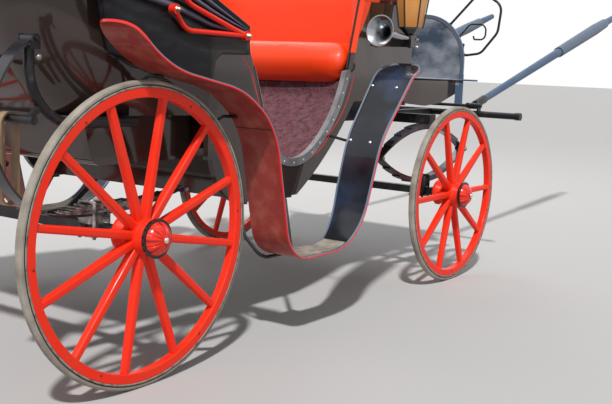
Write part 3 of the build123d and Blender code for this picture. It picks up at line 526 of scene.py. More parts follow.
# Body: panels of wood and sheet, screwed to an ash frame, under many coats of black that are rubbed
# and varnished to a mirror gloss.
coach_black = Finish("coach_black", (0.010, 0.009, 0.011), 0.12, coat=0.55, specular=0.35)
coach_black.plain("Coat Tint", (1.0, 0.90, 0.86, 1))
haze_and_reflection = coach_black.patches(3.0, 4.0, 0.35, 0.75)
# painted reflection: the black is lifted to a brown grey, more in cloudy patches, as the ground seen in the
# gloss
coach_black.shade(haze_and_reflection * 0.5, (0.030, 0.019, 0.016), (0.060, 0.044, 0.039))
coach_black.give("Roughness", 0.07 + haze_and_reflection * 0.10)
for name in ("body_sides", "rear_tub", "rear_boot", "drivers_box", "driver_board", "footboard", "floor_pan",
             "floor_bearers", "seat_boards"):
    dress(name, coach_black)

# Dash: one panel of patent hide stretched over a steel rim and sewn along it in brown thread. It is
# grey blue with bloom, and mottled as old hide is.
dash_hide = Finish("dash_hide", (0.03, 0.04, 0.06), 0.30, coat=0.35, specular=0.4)
bloom = dash_hide.patches(7.0, 3.0, 0.38, 0.66, (1, 1, 1.6))
panel = dash_hide.mix(bloom, (0.060, 0.085, 0.125), (0.30, 0.33, 0.38))
dash_half = 0.575
dash_top = 1.350
dash_corner = 0.240
rim_width = 0.016
aside = (abs(dash_hide.axis("Y")) - (dash_half - dash_corner)).maths("MAXIMUM", 0.0)
aloft = (dash_hide.axis("Z") - (dash_top - dash_corner)).maths("MAXIMUM", 0.0)
in_rim = (aside * aside + aloft * aloft).maths("POWER", 0.5) > dash_corner - rim_width
edge = (in_rim + (dash_hide.axis("Z") < 0.977)).maths("MINIMUM", 1.0)
dash_hide.shade(edge, panel, (0.085, 0.135, 0.215))
dash_hide.give("Roughness", 0.22 + bloom * 0.25)
dress("dash", dash_hide)
seam_brown = Finish("seam_brown", (0.13, 0.085, 0.060), 0.5, specular=0.3)
bend = dash_corner - rim_width
rim_line = [at(1.4395, dash_half - rim_width, 1.020)]
for start, side in ((0, 1), (90, -1)):
    for i in range(13):
        a = math.radians(start + 90 * i / 12)
        rim_line.append(at(1.4395, side * (dash_half - dash_corner) + bend * math.cos(a),
                           dash_top - dash_corner + bend * math.sin(a)))
rim_line.append(at(1.4395, rim_width - dash_half, 1.020))
mesh = grown(cord_line, seam_brown, [rim_line], radius=0.0025, step=0.014)
join_piece("dash_rim_line", mesh, "carriage", "black_leather", seam_brown)

# Sill strips and lines: aluminium edging pinned round the entry with bright studs, dull and scratched
# from shoes. The painter's red lines run beside it and down the rear quarter.
worn_aluminium = Finish("worn_aluminium", (0.26, 0.26, 0.27), 0.42, metallic=0.7)
scratches = worn_aluminium.noise(40.0, 5.0, (1, 1, 6))
worn_aluminium.give("Roughness", 0.32 + scratches * 0.3)
grime = worn_aluminium.patches(16.0, 6.0, 0.45, 0.72)
worn_aluminium.shade(grime * 0.7, (0.26, 0.26, 0.27), (0.11, 0.105, 0.105))
dress("sill_strips", worn_aluminium)


def arc_through(a, b, c, steps):
    """Points (x, z) along the circle through three points."""
    (ax, az), (bx, bz), (cx, cz) = a, b, c
    d = 2 * (ax * (bz - cz) + bx * (cz - az) + cx * (az - bz))
    a2 = ax * ax + az * az
    b2 = bx * bx + bz * bz
    c2 = cx * cx + cz * cz
    ux = (a2 * (bz - cz) + b2 * (cz - az) + c2 * (az - bz)) / d
    uz = (a2 * (cx - bx) + b2 * (ax - cx) + c2 * (bx - ax)) / d
    r = math.hypot(ax - ux, az - uz)
    first = math.atan2(az - uz, ax - ux)
    last = math.atan2(cz - uz, cx - ux)
    turn = (last - first + math.pi) % (2 * math.pi) - math.pi
    return [(ux + r * math.cos(first + turn * i / steps), uz + r * math.sin(first + turn * i / steps))
            for i in range(steps + 1)]


# the entry's edge, from its front down and round to its rear
sill = arc_through((0.317, 1.035), (0.206, 0.826), (0.062, 0.703), 16)
sill += arc_through((0.062, 0.703), (-0.042, 0.672), (-0.144, 0.690), 8)[1:]
sill += arc_through((-0.144, 0.690), (-0.230, 0.780), (-0.281, 0.905), 10)[1:]


def beside(line, gap):
    """The same line, moved out of the entry by a gap."""
    moved = []
    for i, (x, z) in enumerate(line):
        before = line[max(i - 1, 0)]
        after = line[min(i + 1, len(line) - 1)]
        run = Vector((after[0] - before[0], after[1] - before[1])).normalized()
        moved.append((x - run.y * gap, z + run.x * gap))
    return moved


# the pinstripe below the entry, three arcs from the front down and back
pinstripe = arc_through((0.384, 1.022), (0.327, 0.894), (0.211, 0.771), 14)
pinstripe += arc_through((0.211, 0.771), (0.145, 0.707), (0.050, 0.668), 8)[1:]
pinstripe += arc_through((0.050, 0.668), (-0.044, 0.656), (-0.144, 0.662), 8)[1:]
quarter_line = [(-0.418, 1.083), (-0.392, 1.066), (-0.366, 1.040), (-0.344, 1.005), (-0.324, 0.960),
                (-0.300, 0.905)]
stud_steel = Finish("stud_steel", (0.62, 0.62, 0.60), 0.3, metallic=1.0)
line_red = Finish("line_red", (0.78, 0.015, 0.018), 0.35, specular=0.3)
half_body = 0.560
line_radius = 0.010
line_proud = 0.0009
line_sunk = line_radius - line_proud
for name, side in sides.items():
    middle = beside(sill[1:24], 0.016)
    studs = [at(x, side * (half_body + 0.0032), z) for x, z in middle]
    mesh = grown(stud_line, stud_steel, [studs], gap=0.068, head=0.0050)
    join_piece("sill_studs_" + name, mesh, "carriage", "bright_metal", stud_steel)
    around = [at(x, side * (half_body - line_sunk), z) for x, z in pinstripe]
    quarter = [at(x, side * (half_body - line_sunk), z) for x, z in quarter_line]
    mesh = grown(cord_line, line_red, [around, quarter], radius=line_radius, step=0.008)
    join_piece("body_lines_" + name, mesh, "carriage", "red_paint", line_red)

# Carpet: maroon loop pile with brighter flecks, glued to the floor pan and up the riser of the front
# seat.
carpet_pile = Finish("carpet_pile", (0.12, 0.05, 0.06), 0.95, specular=0.1, sheen=0.08)
tufts = carpet_pile.noise(170.0, 2.0)
fleck = carpet_pile.between(tufts, 0.45, 0.62)
mottle = carpet_pile.patches(38.0, 4.0, 0.35, 0.65)
ground_pile = carpet_pile.mix(mottle, (0.060, 0.020, 0.026), (0.150, 0.068, 0.080))
tufted = carpet_pile.mix(fleck * 0.6, ground_pile, (0.20, 0.11, 0.12))
red_fleck = carpet_pile.patches(95.0, 2.0, 0.60, 0.68)
carpet_pile.shade(red_fleck * 0.7, tufted, (0.34, 0.022, 0.050))
carpet_pile.bump(tufts, 0.004, 0.8)
dress("carpet", carpet_pile)

# Seats: bright red leather stretched over curled hair and nailed down behind, with welts along the
# cushions' seams.
leather_red = Finish("leather_red", (0.93, 0.052, 0.004), 0.34, coat=0.16, specular=0.42)
leather_red.plain("Coat Roughness", 0.28)
grain = leather_red.add("TexVoronoi", {"feature": "DISTANCE_TO_EDGE"},
                        {"Vector": leather_red.where(), "Scale": 420.0}, "Distance")
leather_red.bump(leather_red.between(grain, 0.0, 0.12), 0.0006, 0.35)
welt_leather = Finish("welt_leather", (0.62, 0.022, 0.008), 0.5, specular=0.2)


def rubbed_round(shape, times):
    """The form after an upholsterer's hands have smoothed it a number of times."""
    for _ in range(times):
        bmesh.ops.smooth_vert(shape, verts=shape.verts, factor=0.5, use_axis_x=True, use_axis_y=True,
                              use_axis_z=True)


nose_reach = 0.10
belly_reach = 0.06
blow_frames = 20


def stuffed(node, inset, voxel, soften, puff, crown_limit, swell=0.0, nose=0.0, calm=3):
    """Cloth blown up inside the solid's form, with its edges rubbed round, for a pad in its place.

    Between its ends the front swells out and down, and its nose is rounded off above and below.
    """
    mesh = nodes[node].data.copy()
    shape = bmesh.new()
    shape.from_mesh(mesh)
    closed_up(shape, 1e-5)
    low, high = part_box(node)
    middle = (low + high) / 2
    for vert in shape.verts:
        for i in range(3):
            half = (high[i] - low[i]) / 2
            vert.co[i] = middle[i] + (vert.co[i] - middle[i]) * (half - inset) / half
    shape.to_mesh(mesh)
    shape.free()
    mesh.materials.clear()
    piece = placed(node + "_leather", mesh)
    remesh = piece.modifiers.new("remesh", "REMESH")
    remesh.mode = "VOXEL"
    remesh.voxel_size = voxel
    solid = as_made(piece)
    piece.modifiers.clear()
    piece.data = solid
    shape = bmesh.new()
    shape.from_mesh(solid)
    rubbed_round(shape, soften)
    for vert in shape.verts:
        share = abs(vert.co.y - middle.y) / (high.y - middle.y)
        front = max(0.0, 1 - (vert.co.x - low.x) / nose_reach)
        below = max(0.0, 1 - (vert.co.z - low.z) / belly_reach)
        rise = min(1.0, max(-0.6, (vert.co.z - middle.z) / (high.z - middle.z)))
        fall = nose * (1 - math.sqrt(1 - rise ** 2))
        end = max(0.0, 1 - (high.y - abs(vert.co.y)) / nose_reach)
        vert.co.x += fall * front
        vert.co.y -= math.copysign(0.7 * fall * end, vert.co.y)
        vert.co.x -= swell * front * (1 - share ** 2 - 2.2 * share ** 8)
        vert.co.z -= swell * 0.6 * below * front * (1 - share ** 2)
    shape.to_mesh(solid)
    shape.free()
    rest = [vert.co.copy() for vert in solid.vertices]
    cloth = piece.modifiers.new("cloth", "CLOTH")
    cloth.settings.use_pressure = True
    cloth.settings.uniform_pressure_force = puff
    cloth.settings.effector_weights.gravity = 0
    cloth.settings.tension_stiffness = 20
    cloth.settings.compression_stiffness = 20
    cloth.settings.quality = 4
    cloth.collision_settings.use_self_collision = False
    scene = bpy.context.scene
    cloth.point_cache.frame_start = 1
    cloth.point_cache.frame_end = blow_frames
    for number in range(1, blow_frames + 1):
        scene.frame_set(number)
    blown = as_made(piece)
    piece.modifiers.clear()
    scene.frame_set(1)
    for vert, start in zip(blown.vertices, rest):
        move = vert.co - start
        if move.length > crown_limit:
            vert.co = start + move.normalized() * crown_limit
    shape = bmesh.new()
    shape.from_mesh(blown)
    rubbed_round(shape, calm)
    shape.to_mesh(blown)
    shape.free()
    piece.data = blown
    for face in piece.data.polygons:
        face.use_smooth = True
    rounding = piece.modifiers.new("rounding", "SUBSURF")
    rounding.levels = 1
    rounding.render_levels = 1
    piece.data.materials.clear()
    piece.data.materials.append(leather_red.material)
    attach(piece, "carriage")
    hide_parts(node)
    return piece


def welt(shape, points, radius, around=8):
    """A round cord of leather along a closed loop of points."""
    rings = []
    for before, point, after in zip(points[-1:] + points[:-1], points, points[1:] + points[:1]):
        run = (after - before).normalized()
        side = run.cross(Vector((0, 0, 1))).normalized()
        up = side.cross(run)
        ring = []
        for k in range(around):
            a = 2 * math.pi * k / around
            ring.append(shape.verts.new(point + radius * (side * math.cos(a) + up * math.sin(a))))
        rings.append(ring)
    banded(shape, rings)


def onto(piece, points, lift):
    """The nearest spots on a piece, lifted off it."""
    graph = bpy.context.evaluated_depsgraph_get()
    tree = BVHTree.FromObject(piece.evaluated_get(graph), graph)
    spots = []
    for point in points:
        place, normal, _, _ = tree.find_nearest(point)
        spots.append(place + normal * lift)
    return spots


def rounded_loop(x_low, x_high, half, z, corner, steps=8):
    """A rectangle with round corners, level, as points about 30 mm apart."""
    points = []
    corners = [(x_high - corner, half - corner, 0), (x_low + corner, half - corner, 90),
               (x_low + corner, -half + corner, 180), (x_high - corner, -half + corner, 270)]
    for cx, cy, start in corners:
        for i in range(steps + 1):
            a = math.radians(start + 90 * i / steps)
            points.append(Vector((cx + corner * math.cos(a), cy + corner * math.sin(a), z)))
    filled = []
    for i, point in enumerate(points):
        after = points[(i + 1) % len(points)]
        gap = (after - point).length
        parts = max(1, int(gap / 0.03))
        for k in range(parts):
            filled.append(point.lerp(after, k / parts))
    return filled


welt_radius = 0.0042
stuffed("front_cushion", 0.002, 0.008, 40, 4.0, 0.016, swell=0.014, nose=0.075, calm=14)
stuffed("side_pads", 0.001, 0.006, 4, 3.0, 0.006)
for name in ("rear_cushion", "driver_cushion"):
    pad = stuffed(name, 0.006, 0.010, 8, 4.0, 0.016)
    low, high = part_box(name)
    for level, z in (("top", high.z - 0.024), ("bottom", low.z + 0.024)):
        loop = rounded_loop(low.x, high.x, high.y, z, 0.03)
        shape = bmesh.new()
        welt(shape, onto(pad, loop, 0.0005), welt_radius)
        mesh_piece(name + "_welt_" + level, closed_up(shape), "carriage", "red_leather", welt_leather)
for name in ("rear_seat_back", "front_seat_back"):
    stuffed(name, 0.006, 0.011, 6, 4.0, 0.014)

# Side trim: the pads' red leather is turned out over the body's edge as a facing, and a black leather
# cord is sewn down the seam between pad and edge.
black_cord = Finish("black_cord", (0.012, 0.010, 0.012), 0.55, specular=0.3)
trim_foot = (0.404, 1.190)
trim_top = 1.351
for name, side in sides.items():
    seam = [at(x, side * 0.5285, z) for x, z in ((0.3690, 1.048), (0.4160, 1.228), (0.4630, 1.407))]
    mesh = grown(cord_line, black_cord, [seam], radius=0.0062, step=0.012)
    join_piece("side_piping_" + name, mesh, "carriage", "black_leather", black_cord)
    shape = bmesh.new()
    outer_edge = [trim_foot, (0.430, 1.229), (0.4547, 1.265), (0.480, 1.308), (0.500, trim_top)]
    outline = outer_edge + [(0.4465, trim_top)]
    inner = [shape.verts.new(at(x, side * 0.5597, z)) for x, z in outline]
    outer = [shape.verts.new(at(x, side * 0.5622, z)) for x, z in outline]
    shape.faces.new(inner)
    shape.faces.new(outer)
    for i in range(len(outline)):
        j = (i + 1) % len(outline)
        shape.faces.new((inner[i], inner[j], outer[j], outer[i]))
    turn_in = bmesh.ops.create_cube(shape, size=1.0)["verts"]
    for vert in turn_in:
        z = 1.236 + vert.co.z * 0.230
        edge = 0.366 + (z - 1.045) * 0.2629
        vert.co = at(edge - 0.0010 + vert.co.x * 0.0028, side * (0.5490 + vert.co.y * 0.0264), z)
    mesh_piece("side_facing_" + name, closed_up(shape), "carriage", "red_leather", leather_red, smooth=False)

# Mudguards: sheet steel in two lengths lapped at the rise, with a rolled edge, black above and
# maroon below, the roll's outer face lined in bright red. The black above carries a painted blue grey
# reflection of the sky in cloudy patches, and the roll's top a painted silver blue highlight. Round
# headed bolts hold each front length to its stays.
tread_low, tread_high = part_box("step_treads")
guard_paint = Finish("guard_paint", (0.010, 0.010, 0.013), 0.14, coat=0.22, specular=0.30)
step_middle = (tread_low.x + tread_high.x) / 2
upper_edge = -0.02


def facing_up(paint, normal):
    """Whether a face of the guard looks to its upper side, which leans back ahead of the step."""
    leaning = 1.0 - 2.0 * (paint.axis("X") > step_middle)
    return (paint.axis("Z", normal) + leaning * paint.axis("X", normal)) > upper_edge


upper_face = facing_up(guard_paint, guard_paint.add("NewGeometry", out="Normal"))
cloud = guard_paint.patches(6.0, 5.0, 0.4, 0.75)
mottle = guard_paint.patches(17.0, 6.0, 0.45, 0.70)
# painted reflection: the black upper face is lightened to blue grey in cloudy patches
top_coat_and_reflection = guard_paint.mix(cloud * 0.5, (0.008, 0.009, 0.013), (0.035, 0.042, 0.060))
under_coat = guard_paint.mix(mottle * 0.6, (0.28, 0.030, 0.022), (0.42, 0.110, 0.075))
both = guard_paint.mix(upper_face, under_coat, top_coat_and_reflection)
lap_height = 0.8285
lap = (abs(guard_paint.axis("Z") - lap_height) < 0.0022) * (guard_paint.axis("X") < at(-0.5, 0, 0).x)
both = guard_paint.mix(lap * 0.85, both, (0.010, 0.006, 0.006))
# painted reflection: blue patches of sky on the upper faces
sky_reflection_patch = guard_paint.patches(4.5, 2.0, 0.50, 0.62, (1, 1, 0.7)) * upper_face
both = guard_paint.mix(sky_reflection_patch * 0.55, both, (0.030, 0.055, 0.115))
guard_paint.give("Base Color", both)
guard_paint.give("Roughness", 0.14 + cloud * 0.14 + (1.0 - upper_face) * 0.22)
dress("mudguards", guard_paint)
bead_paint = Finish("bead_paint", (0.15, 0.18, 0.24), 0.22, coat=0.3)
facing = bead_paint.add("NewGeometry", out="Normal")
# painted highlight: the roll's faces that look up or outward are silver blue, the rest dark red
bead_highlight = (facing_up(bead_paint, facing) + (abs(bead_paint.axis("Y", facing)) > 0.7)).maths("MINIMUM", 1.0)
tail_x = at(-1.190, 0, 0).x
tail_wall = (bead_paint.axis("X") < tail_x) * (abs(bead_paint.axis("Z", facing)) < 0.6)
rolled_and_highlight = bead_paint.mix(bead_highlight, (0.20, 0.024, 0.020), (0.15, 0.18, 0.24))
bead_paint.shade(tail_wall, rolled_and_highlight, (0.80, 0.020, 0.018))
guard_mesh = nodes["mudguards"].data
guard_mesh.materials.append(bead_paint.material)
bead_across = 0.018
for face in guard_mesh.polygons:
    across = [guard_mesh.vertices[i].co.y for i in face.vertices]
    in_tail = face.center.x < tail_x and abs(face.normal.z) < 0.6
    face.material_index = 1 if max(across) - min(across) < bead_across or in_tail else 0
guard_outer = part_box("mudguards")[1].y - 0.0004
rim_walls = {}
for face in guard_mesh.polygons:
    for pair in face.edge_keys:
        spots = [guard_mesh.vertices[i].co for i in pair]
        if all(abs(spot.y) > guard_outer for spot in spots):
            edge = tuple(sorted(tuple(round(n, 5) for n in spot) for spot in spots))
            walls = rim_walls.setdefault(edge, [])
            if abs(face.normal.y) < 0.5:
                walls.append(face.normal.copy())
rim_points = []
rim_edges = []
number_of = {}
for spots, walls in rim_walls.items():
    leaning = -1.0 if spots[0][0] > step_middle else 1.0
    if not walls or walls[0].z + leaning * walls[0].x > upper_edge:
        continue
    for spot in spots:
        if spot not in number_of:
            number_of[spot] = len(rim_points)
            outward = Vector((0, math.copysign(0.0012, spot[1]), 0))
            rim_points.append(Vector(spot) - walls[0] * 0.0022 - outward)
    rim_edges.append(tuple(number_of[spot] for spot in spots))
mesh = grown(cord_line, line_red, points=rim_points, edges=rim_edges, radius=0.0030, step=0.012)
join_piece("guard_lines", mesh, "carriage", "red_paint", line_red)
bolts = [(0.40, 0.648, 0.983), (0.40, 0.772, 0.976), (0.20, 0.671, 0.751), (0.20, 0.770, 0.747)]
guard_tree = BVHTree.FromObject(nodes["mudguards"], bpy.context.evaluated_depsgraph_get())
shape = bmesh.new()
for side in (-1, 1):
    for x, y, z in bolts:
        start = at(x - 0.15, side * y, z + 0.15)
        place, normal, _, _ = guard_tree.ray_cast(start, Vector((1, 0, -1)).normalized(), 0.5)
        turn = normal.to_track_quat("Z", "Y").to_matrix().to_4x4()
        flat = Matrix.Diagonal((1, 1, 0.5, 1))
        bmesh.ops.create_uvsphere(shape, u_segments=12, v_segments=8, radius=0.0075,
                                  matrix=Matrix.Translation(place) @ turn @ flat)
mesh_piece("guard_bolts", closed_up(shape), "carriage", "bright_metal", bright_steel)

# Step treads: rubber mats, worn smooth and dusty, glued to the guards where they level out between
# the wheels.
tread_rubber = Finish("tread_rubber", (0.26, 0.22, 0.18), 0.9, specular=0.2)
tread_rubber.shade(tread_rubber.patches(25.0, 6.0, 0.3, 0.7), (0.17, 0.14, 0.12), (0.38, 0.33, 0.27))
tread_rubber.bump(tread_rubber.noise(220.0), 0.002, 0.7)
dress("step_treads", tread_rubber)

# Hood: one hide of black leather over bent bows, let down into a stack of folds behind the seat. It
# turns over the bows from the inside, is pinched at a knuckle on each side, and hangs in a flap there.
leather_black = Finish("leather_black", (0.010, 0.009, 0.011), 0.40, coat=0.0, specular=0.16)
leather_black.bump(leather_black.noise(300.0, 4.0), 0.0006, 0.4)
rubbed = leather_black.patches(11.0, 5.0, 0.50, 0.75, (1, 1, 2.5))
# painted highlight: the pleats' ridges are lightened to blue grey
ridge = leather_black.add("Attribute", {"attribute_name": "ridge"}, out="Fac")
# painted reflection: the lower front of the flap is lightened to a brown grey; the rest stays near black
reflecting_front_part = leather_black.between(leather_black.axis("X"), at(-0.668, 0, 0).x, at(-0.645, 0, 0).x)
reflecting_front_part = reflecting_front_part * (leather_black.axis("Z") < 1.150)
plain = leather_black.mix(reflecting_front_part * 0.8, (0.006, 0.005, 0.007), (0.042, 0.033, 0.030))
worn = leather_black.mix(rubbed * 0.35, plain, (0.060, 0.055, 0.060))
leather_black.shade(ridge * 0.9, worn, (0.15, 0.15, 0.20))
leather_black.give("Roughness", 0.36 + rubbed * 0.2)
hood_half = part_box("hood")[1].y
inner_half = 0.511
knuckle_x = -0.4205
corner_x = -1.130
back_x = -1.474
corner_y = 0.240


def steps_of(line, x):
    """The height of a broken line of (x, z) at x, its places given from the front to the back."""
    if x >= line[0][0]:
        return line[0][1]
    for (xa, za), (xb, zb) in zip(line, line[1:]):
        if x >= xb:
            return za + (zb - za) * (xa - x) / (xa - xb)
    return line[-1][1]


hood_top = [(-0.425, 1.198), (-0.610, 1.281), (-0.980, 1.452), (-1.120, 1.495), (-1.400, 1.488)]
tub_rail = [(-0.600, 1.130), (-1.400, 1.336)]
flap_foot = [(-0.425, 1.091), (-0.600, 1.089), (-0.632, 1.066), (-0.650, 0.995), (-0.690, 0.979),
             (-0.985, 1.036), (-1.172, 1.081)]
flap_end = -1.176
flap_crease = [(-0.656, 1.112), (-0.789, 1.138), (-0.925, 1.181), (-1.007, 1.209), (-1.097, 1.227)]
pleat_foot = [(-0.425, 1.160), (-0.554, 1.166), (-0.665, 1.180), (-0.829, 1.222), (-1.075, 1.262),
              (-1.400, 1.352)]
pleats = 4
pleat_depth = 0.022
fold_rows = 40
stack_width = 0.215
back_bulge = 0.068
hem = 0.010
above_rail = 0.012
inner_drop = 0.026
knuckle_run = 0.020
crease_depth = 0.007
crease_half = 0.012
wrinkle_depth = 0.0035
wrinkle_x = -0.50
wrinkle_reach = 0.13


def hood_stations():
    """Plan points from the knuckle to the middle of the back: place, outward, share of the corner."""
    found = []
    marks = [knuckle_x, -0.427, -0.440, -0.460, -0.600, -0.632, -0.650, -0.690]
    even = [-0.46 - 0.02 * i for i in range(1, 34)]
    for x in sorted(set(marks + [x for x in even if x > corner_x]), reverse=True):
        found.append((x, hood_half, 0.0, 1.0, 0.0))
    for i in range(23):
        a = math.radians(90 * i / 22)
        x = corner_x + (back_x - corner_x) * math.sin(a)
        y = corner_y + (hood_half - corner_y) * math.cos(a)
        out = Vector((-math.sin(a), math.cos(a)))
        found.append((x, y, out.x, out.y, math.sin(a)))
    for i in range(1, 9):
        found.append((back_x, corner_y * (1 - i / 8), -1.0, 0.0, 1.0))
    return found


def hood_section(x, y, out_x, out_y, corner):
    """The hide's outline at a station, from its outer foot over the bows to its inner foot."""
    spots = []
    ridges = []
    top = steps_of(hood_top, x)
    rail = steps_of(tub_rail, x)
    with_flap = x > flap_end
    foot = steps_of(flap_foot, x) if with_flap else rail
    fold_foot = max(steps_of(pleat_foot, x), rail + above_rail)
    ramp = min(1.0, (knuckle_x - x) / 0.22 + 0.20)
    width = (hood_half - inner_half) * (1 - corner) + stack_width * corner
    pinch = 1.0 - 0.80 * max(0.0, 1.0 - (knuckle_x - x) / knuckle_run) ** 2
    deep = (1 - pinch) * width / 2

    def spot(inward, z, ridge=0.0):
        inward = deep + inward * pinch
        spots.append(Vector((x - out_x * inward, y - out_y * inward, z)))
        ridges.append(ridge)

    def bulged(z):
        return back_bulge * corner * (2 * (z - rail) / (top - rail) - 1) ** 2

    if with_flap:
        spot(0.004, foot)
        spot(0.001, foot + 0.003)
        spot(0.000, foot + hem)
    else:
        spot(0.055, rail)
        spot(0.045 * corner + 0.020, rail)
        spot(0.060 * corner + 0.001, rail + 0.018)
    lean = back_bulge * corner
    crease_x, crease_z = flap_crease[0]
    crease = steps_of(flap_crease, x) if x < crease_x else crease_z + (x - crease_x) * 0.12
    wrinkled = max(0.0, 1 - abs(x - wrinkle_x) / wrinkle_reach)
    for i in range(1, 9):
        z = foot + hem + (fold_foot - foot - hem) * i / 9
        fall = bulged(z)
        if with_flap:
            fall = lean * 0.5
            fall += crease_depth * math.exp(-((z - crease) / crease_half) ** 2) * min(1.0, (-0.40 - x) / 0.1)
            fall += wrinkle_depth * (0.5 + 0.5 * math.sin(150 * (z + 0.25 * x))) * wrinkled
        spot(fall, z)
    for i in range(fold_rows + 1):
        v = i / fold_rows
        wander = 0.012 * math.sin(11 * x + 5 * v) * math.sin(math.pi * v)
        z = fold_foot + (top - 0.024 - fold_foot) * v
        hollow = 1 - abs(math.sin(math.pi * pleats * (v + wander))) ** 0.55
        spot(bulged(z) + pleat_depth * ramp * hollow, z, (1 - hollow) ** 5)
    over = lean + 0.004
    for share, dip in ((0.0, 0.013), (0.03, 0.006), (0.10, 0.001), (0.22, 0.006), (0.34, 0.0), (0.50, 0.007),
                       (0.64, 0.001), (0.80, 0.008), (0.92, 0.003), (0.98, 0.012), (1.0, inner_drop)):
        spot(over + (width - over) * share, top - dip)
    for i in range(1, 6):
        spot(width, top - inner_drop + (rail + above_rail - top + inner_drop) * i / 5)
    spot(width - 0.010, rail)
    spot(width - 0.030, rail)
    return spots, ridges


half_path = hood_stations()
path = half_path + [(x, -y, out_x, -out_y, corner) for x, y, out_x, out_y, corner in reversed(half_path[:-1])]
shape = bmesh.new()
rows = []
ridge_layer = shape.verts.layers.float.new("ridge")
for x, y, out_x, out_y, corner in path:
    side = 1 if y >= 0 else -1
    spots, ridges = hood_section(x, abs(y), out_x, abs(out_y), corner)
    rows.append([shape.verts.new(at(spot.x, side * spot.y, spot.z)) for spot in spots])
    for vert, ridge in zip(rows[-1], ridges):
        vert[ridge_layer] = ridge
for here, there in zip(rows, rows[1:]):
    for i in range(len(here) - 1):
        shape.faces.new((here[i], here[i + 1], there[i + 1], there[i]))
for end in (rows[0], rows[-1]):
    half = len(end) // 2
    for i in range(half):
        j = len(end) - 1 - i
        if j - i > 2:
            shape.faces.new((end[i], end[i + 1], end[j - 1], end[j]))
        elif j - i == 2:
            shape.faces.new((end[i], end[i + 1], end[j]))
closed_up(shape)
hide_area = sum(face.calc_area() for face in shape.faces)
hood_hide = mesh_piece("hood_hide", shape, "carriage", "black_leather", leather_black)
thick = hood_hide.modifiers.new("thick", "SOLIDIFY")
thick.thickness = 0.003
thick.offset = -1.0
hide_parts("hood")
iron_red = enamel("iron_red", (0.88, 0.026, 0.010), (0.60, 0.065, 0.03), 0.25, 0.28)
dress("hood_irons", iron_red)

# Lamps and horn: black japanned cases with amber glass on all six sides, given a faint painted glow,
# and a chromed horn, each on a bracket bolted to the driver's box.
lamp_black = Finish("lamp_black", (0.012, 0.010, 0.010), 0.25, coat=0.4)
dress("lamp_cases", lamp_black)
amber = Finish("amber_glass", (0.80, 0.42, 0.12), 0.22, coat=0.3)
low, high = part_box("lamp_glasses")
rise = amber.between(amber.axis("Z"), low.z, low.z + (high.z - low.z) * 0.6)
streak = amber.patches(22.0, 4.0, 0.4, 0.7, (1, 1, 0.3))
glow_colour = amber.mix(streak * 0.35, (0.58, 0.27, 0.070), (0.40, 0.145, 0.022))
amber.shade(rise, (0.36, 0.13, 0.02), glow_colour)
amber.plain("Alpha", 0.86)
amber.plain("IOR", 1.45)
# painted light: a faint glow set in the amber glass
amber.plain("Emission Color", (0.24, 0.11, 0.03, 1))
amber.plain("Emission Strength", 0.5)
dress("lamp_glasses", amber)
horn_chrome = Finish("horn_chrome", (0.36, 0.38, 0.40), 0.24, metallic=1.0)
dress("horn", horn_chrome)

# Strap loops: thick tan leather, dark with oil in places, sewn into loops that hang from the crossbar
# between the C springs.
leather_tan = Finish("leather_tan", (0.30, 0.20, 0.11), 0.6)
oiled = leather_tan.patches(12.0, 4.0, 0.4, 0.7)
leather_tan.shade(oiled, (0.36, 0.26, 0.15), (0.20, 0.12, 0.06))
dress("strap_loops", leather_tan)

# Shafts: ash poles painted a dark blue grey, sleeved in leather against wear, and pinned to the
# splinter bar.
shaft_blue = enamel("shaft_paint", (0.045, 0.085, 0.16), (0.13, 0.17, 0.22), 0.5, 0.3)
dress("shaft_poles", shaft_blue)
sleeve_leather = Finish("sleeve_leather", (0.065, 0.100, 0.155), 0.45, coat=0.1)
sleeve_leather.bump(sleeve_leather.noise(180.0, 4.0), 0.001, 0.4)
dress("shaft_sleeves", sleeve_leather)

# The floor, the light and the camera. The floor is plain and pale, a low sun comes from behind on the
# near side, and the camera stands where the photograph was taken from.
size = 60.0
ground = bpy.data.meshes.new("floor")
corners = [(-size, -size, 0), (size, -size, 0), (size, size, 0), (-size, size, 0)]
ground.from_pydata(corners, [], [(0, 1, 2, 3)])
floor = placed("floor", ground)
floor_paint = Finish("floor_paint", (0.47, 0.46, 0.45), 0.9, specular=0.1)
ground.materials.append(floor_paint.material)

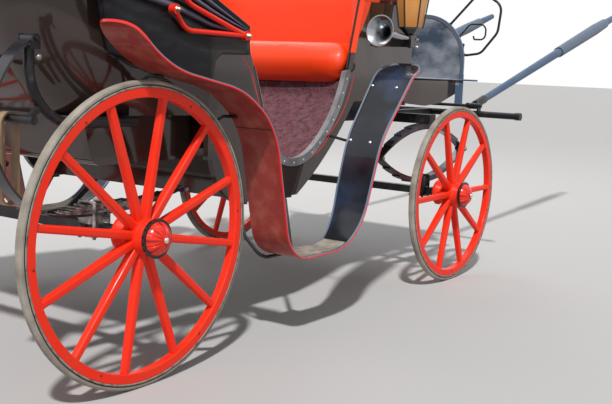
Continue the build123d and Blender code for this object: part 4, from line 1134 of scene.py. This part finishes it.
fill_data = bpy.data.lights.new("fill_light", "AREA")
fill_data.shape = "RECTANGLE"
fill_data.size = 4.0
fill_data.size_y = 4.0
fill_data.energy = 160.0
fill = placed("fill_light", fill_data)
fill.location = at(4.0, 4.0, 5.5)
fill.rotation_euler = (at(0, 0, 0.6) - fill.location).to_track_quat("-Z", "Y").to_euler()
sun_data = bpy.data.lights.new("sun", "SUN")
sun_data.energy = 3.4
sun_data.angle = math.radians(3.0)
sun = placed("sun", sun_data)
sun.rotation_euler = Vector((0.65, 0.43, -1.0)).to_track_quat("-Z", "Y").to_euler()
world = bpy.data.worlds.new("studio")
bpy.context.scene.world = world
world.use_nodes = True
sky = world.node_tree
sky.nodes.clear()


def sky_light(colour, strength):
    return node_in(sky, "ShaderNodeBackground", {"Color": (*colour, 1), "Strength": strength}).outputs[0]


def either(one, other):
    step = node_in(sky, "ShaderNodeMath")
    step.operation = "MAXIMUM"
    wire(sky, (one, step.inputs[0]), (other, step.inputs[1]))
    return step.outputs[0]


ray = node_in(sky, "ShaderNodeLightPath").outputs
pick = node_in(sky, "ShaderNodeMixShader")
shown = node_in(sky, "ShaderNodeOutputWorld")
white_seen = either(either(ray["Is Camera Ray"], ray["Is Glossy Ray"]), ray["Is Transmission Ray"])
wire(sky, (white_seen, pick.inputs[0]), (sky_light((0.93, 0.96, 1.0), 0.42), pick.inputs[1]),
     (sky_light((1, 1, 1), 1.0), pick.inputs[2]), (pick.outputs[0], shown.inputs[0]))

photo_width = 612
focal_pixels = 972.8
yaw = math.radians(34.931)
pitch = math.radians(8.264)
roll = math.radians(2.154)
forward = Vector((math.cos(pitch) * math.cos(yaw), math.cos(pitch) * math.sin(yaw), -math.sin(pitch)))
level = Vector((math.sin(yaw), -math.cos(yaw), 0))
upright = level.cross(forward)
right = math.cos(roll) * level + math.sin(roll) * upright
up = -math.sin(roll) * level + math.cos(roll) * upright
lens = bpy.data.cameras.new("camera")
lens.sensor_width = 36.0
lens.lens = focal_pixels * lens.sensor_width / photo_width
lens.clip_end = 200.0
camera = placed("camera", lens)
turned_to = Matrix((right, up, -forward)).transposed().to_4x4()
camera.matrix_world = Matrix.Translation(at(-3.326, -2.915, 1.078)) @ turned_to
bpy.context.scene.camera = camera
bpy.context.scene.view_settings.view_transform = "Standard"
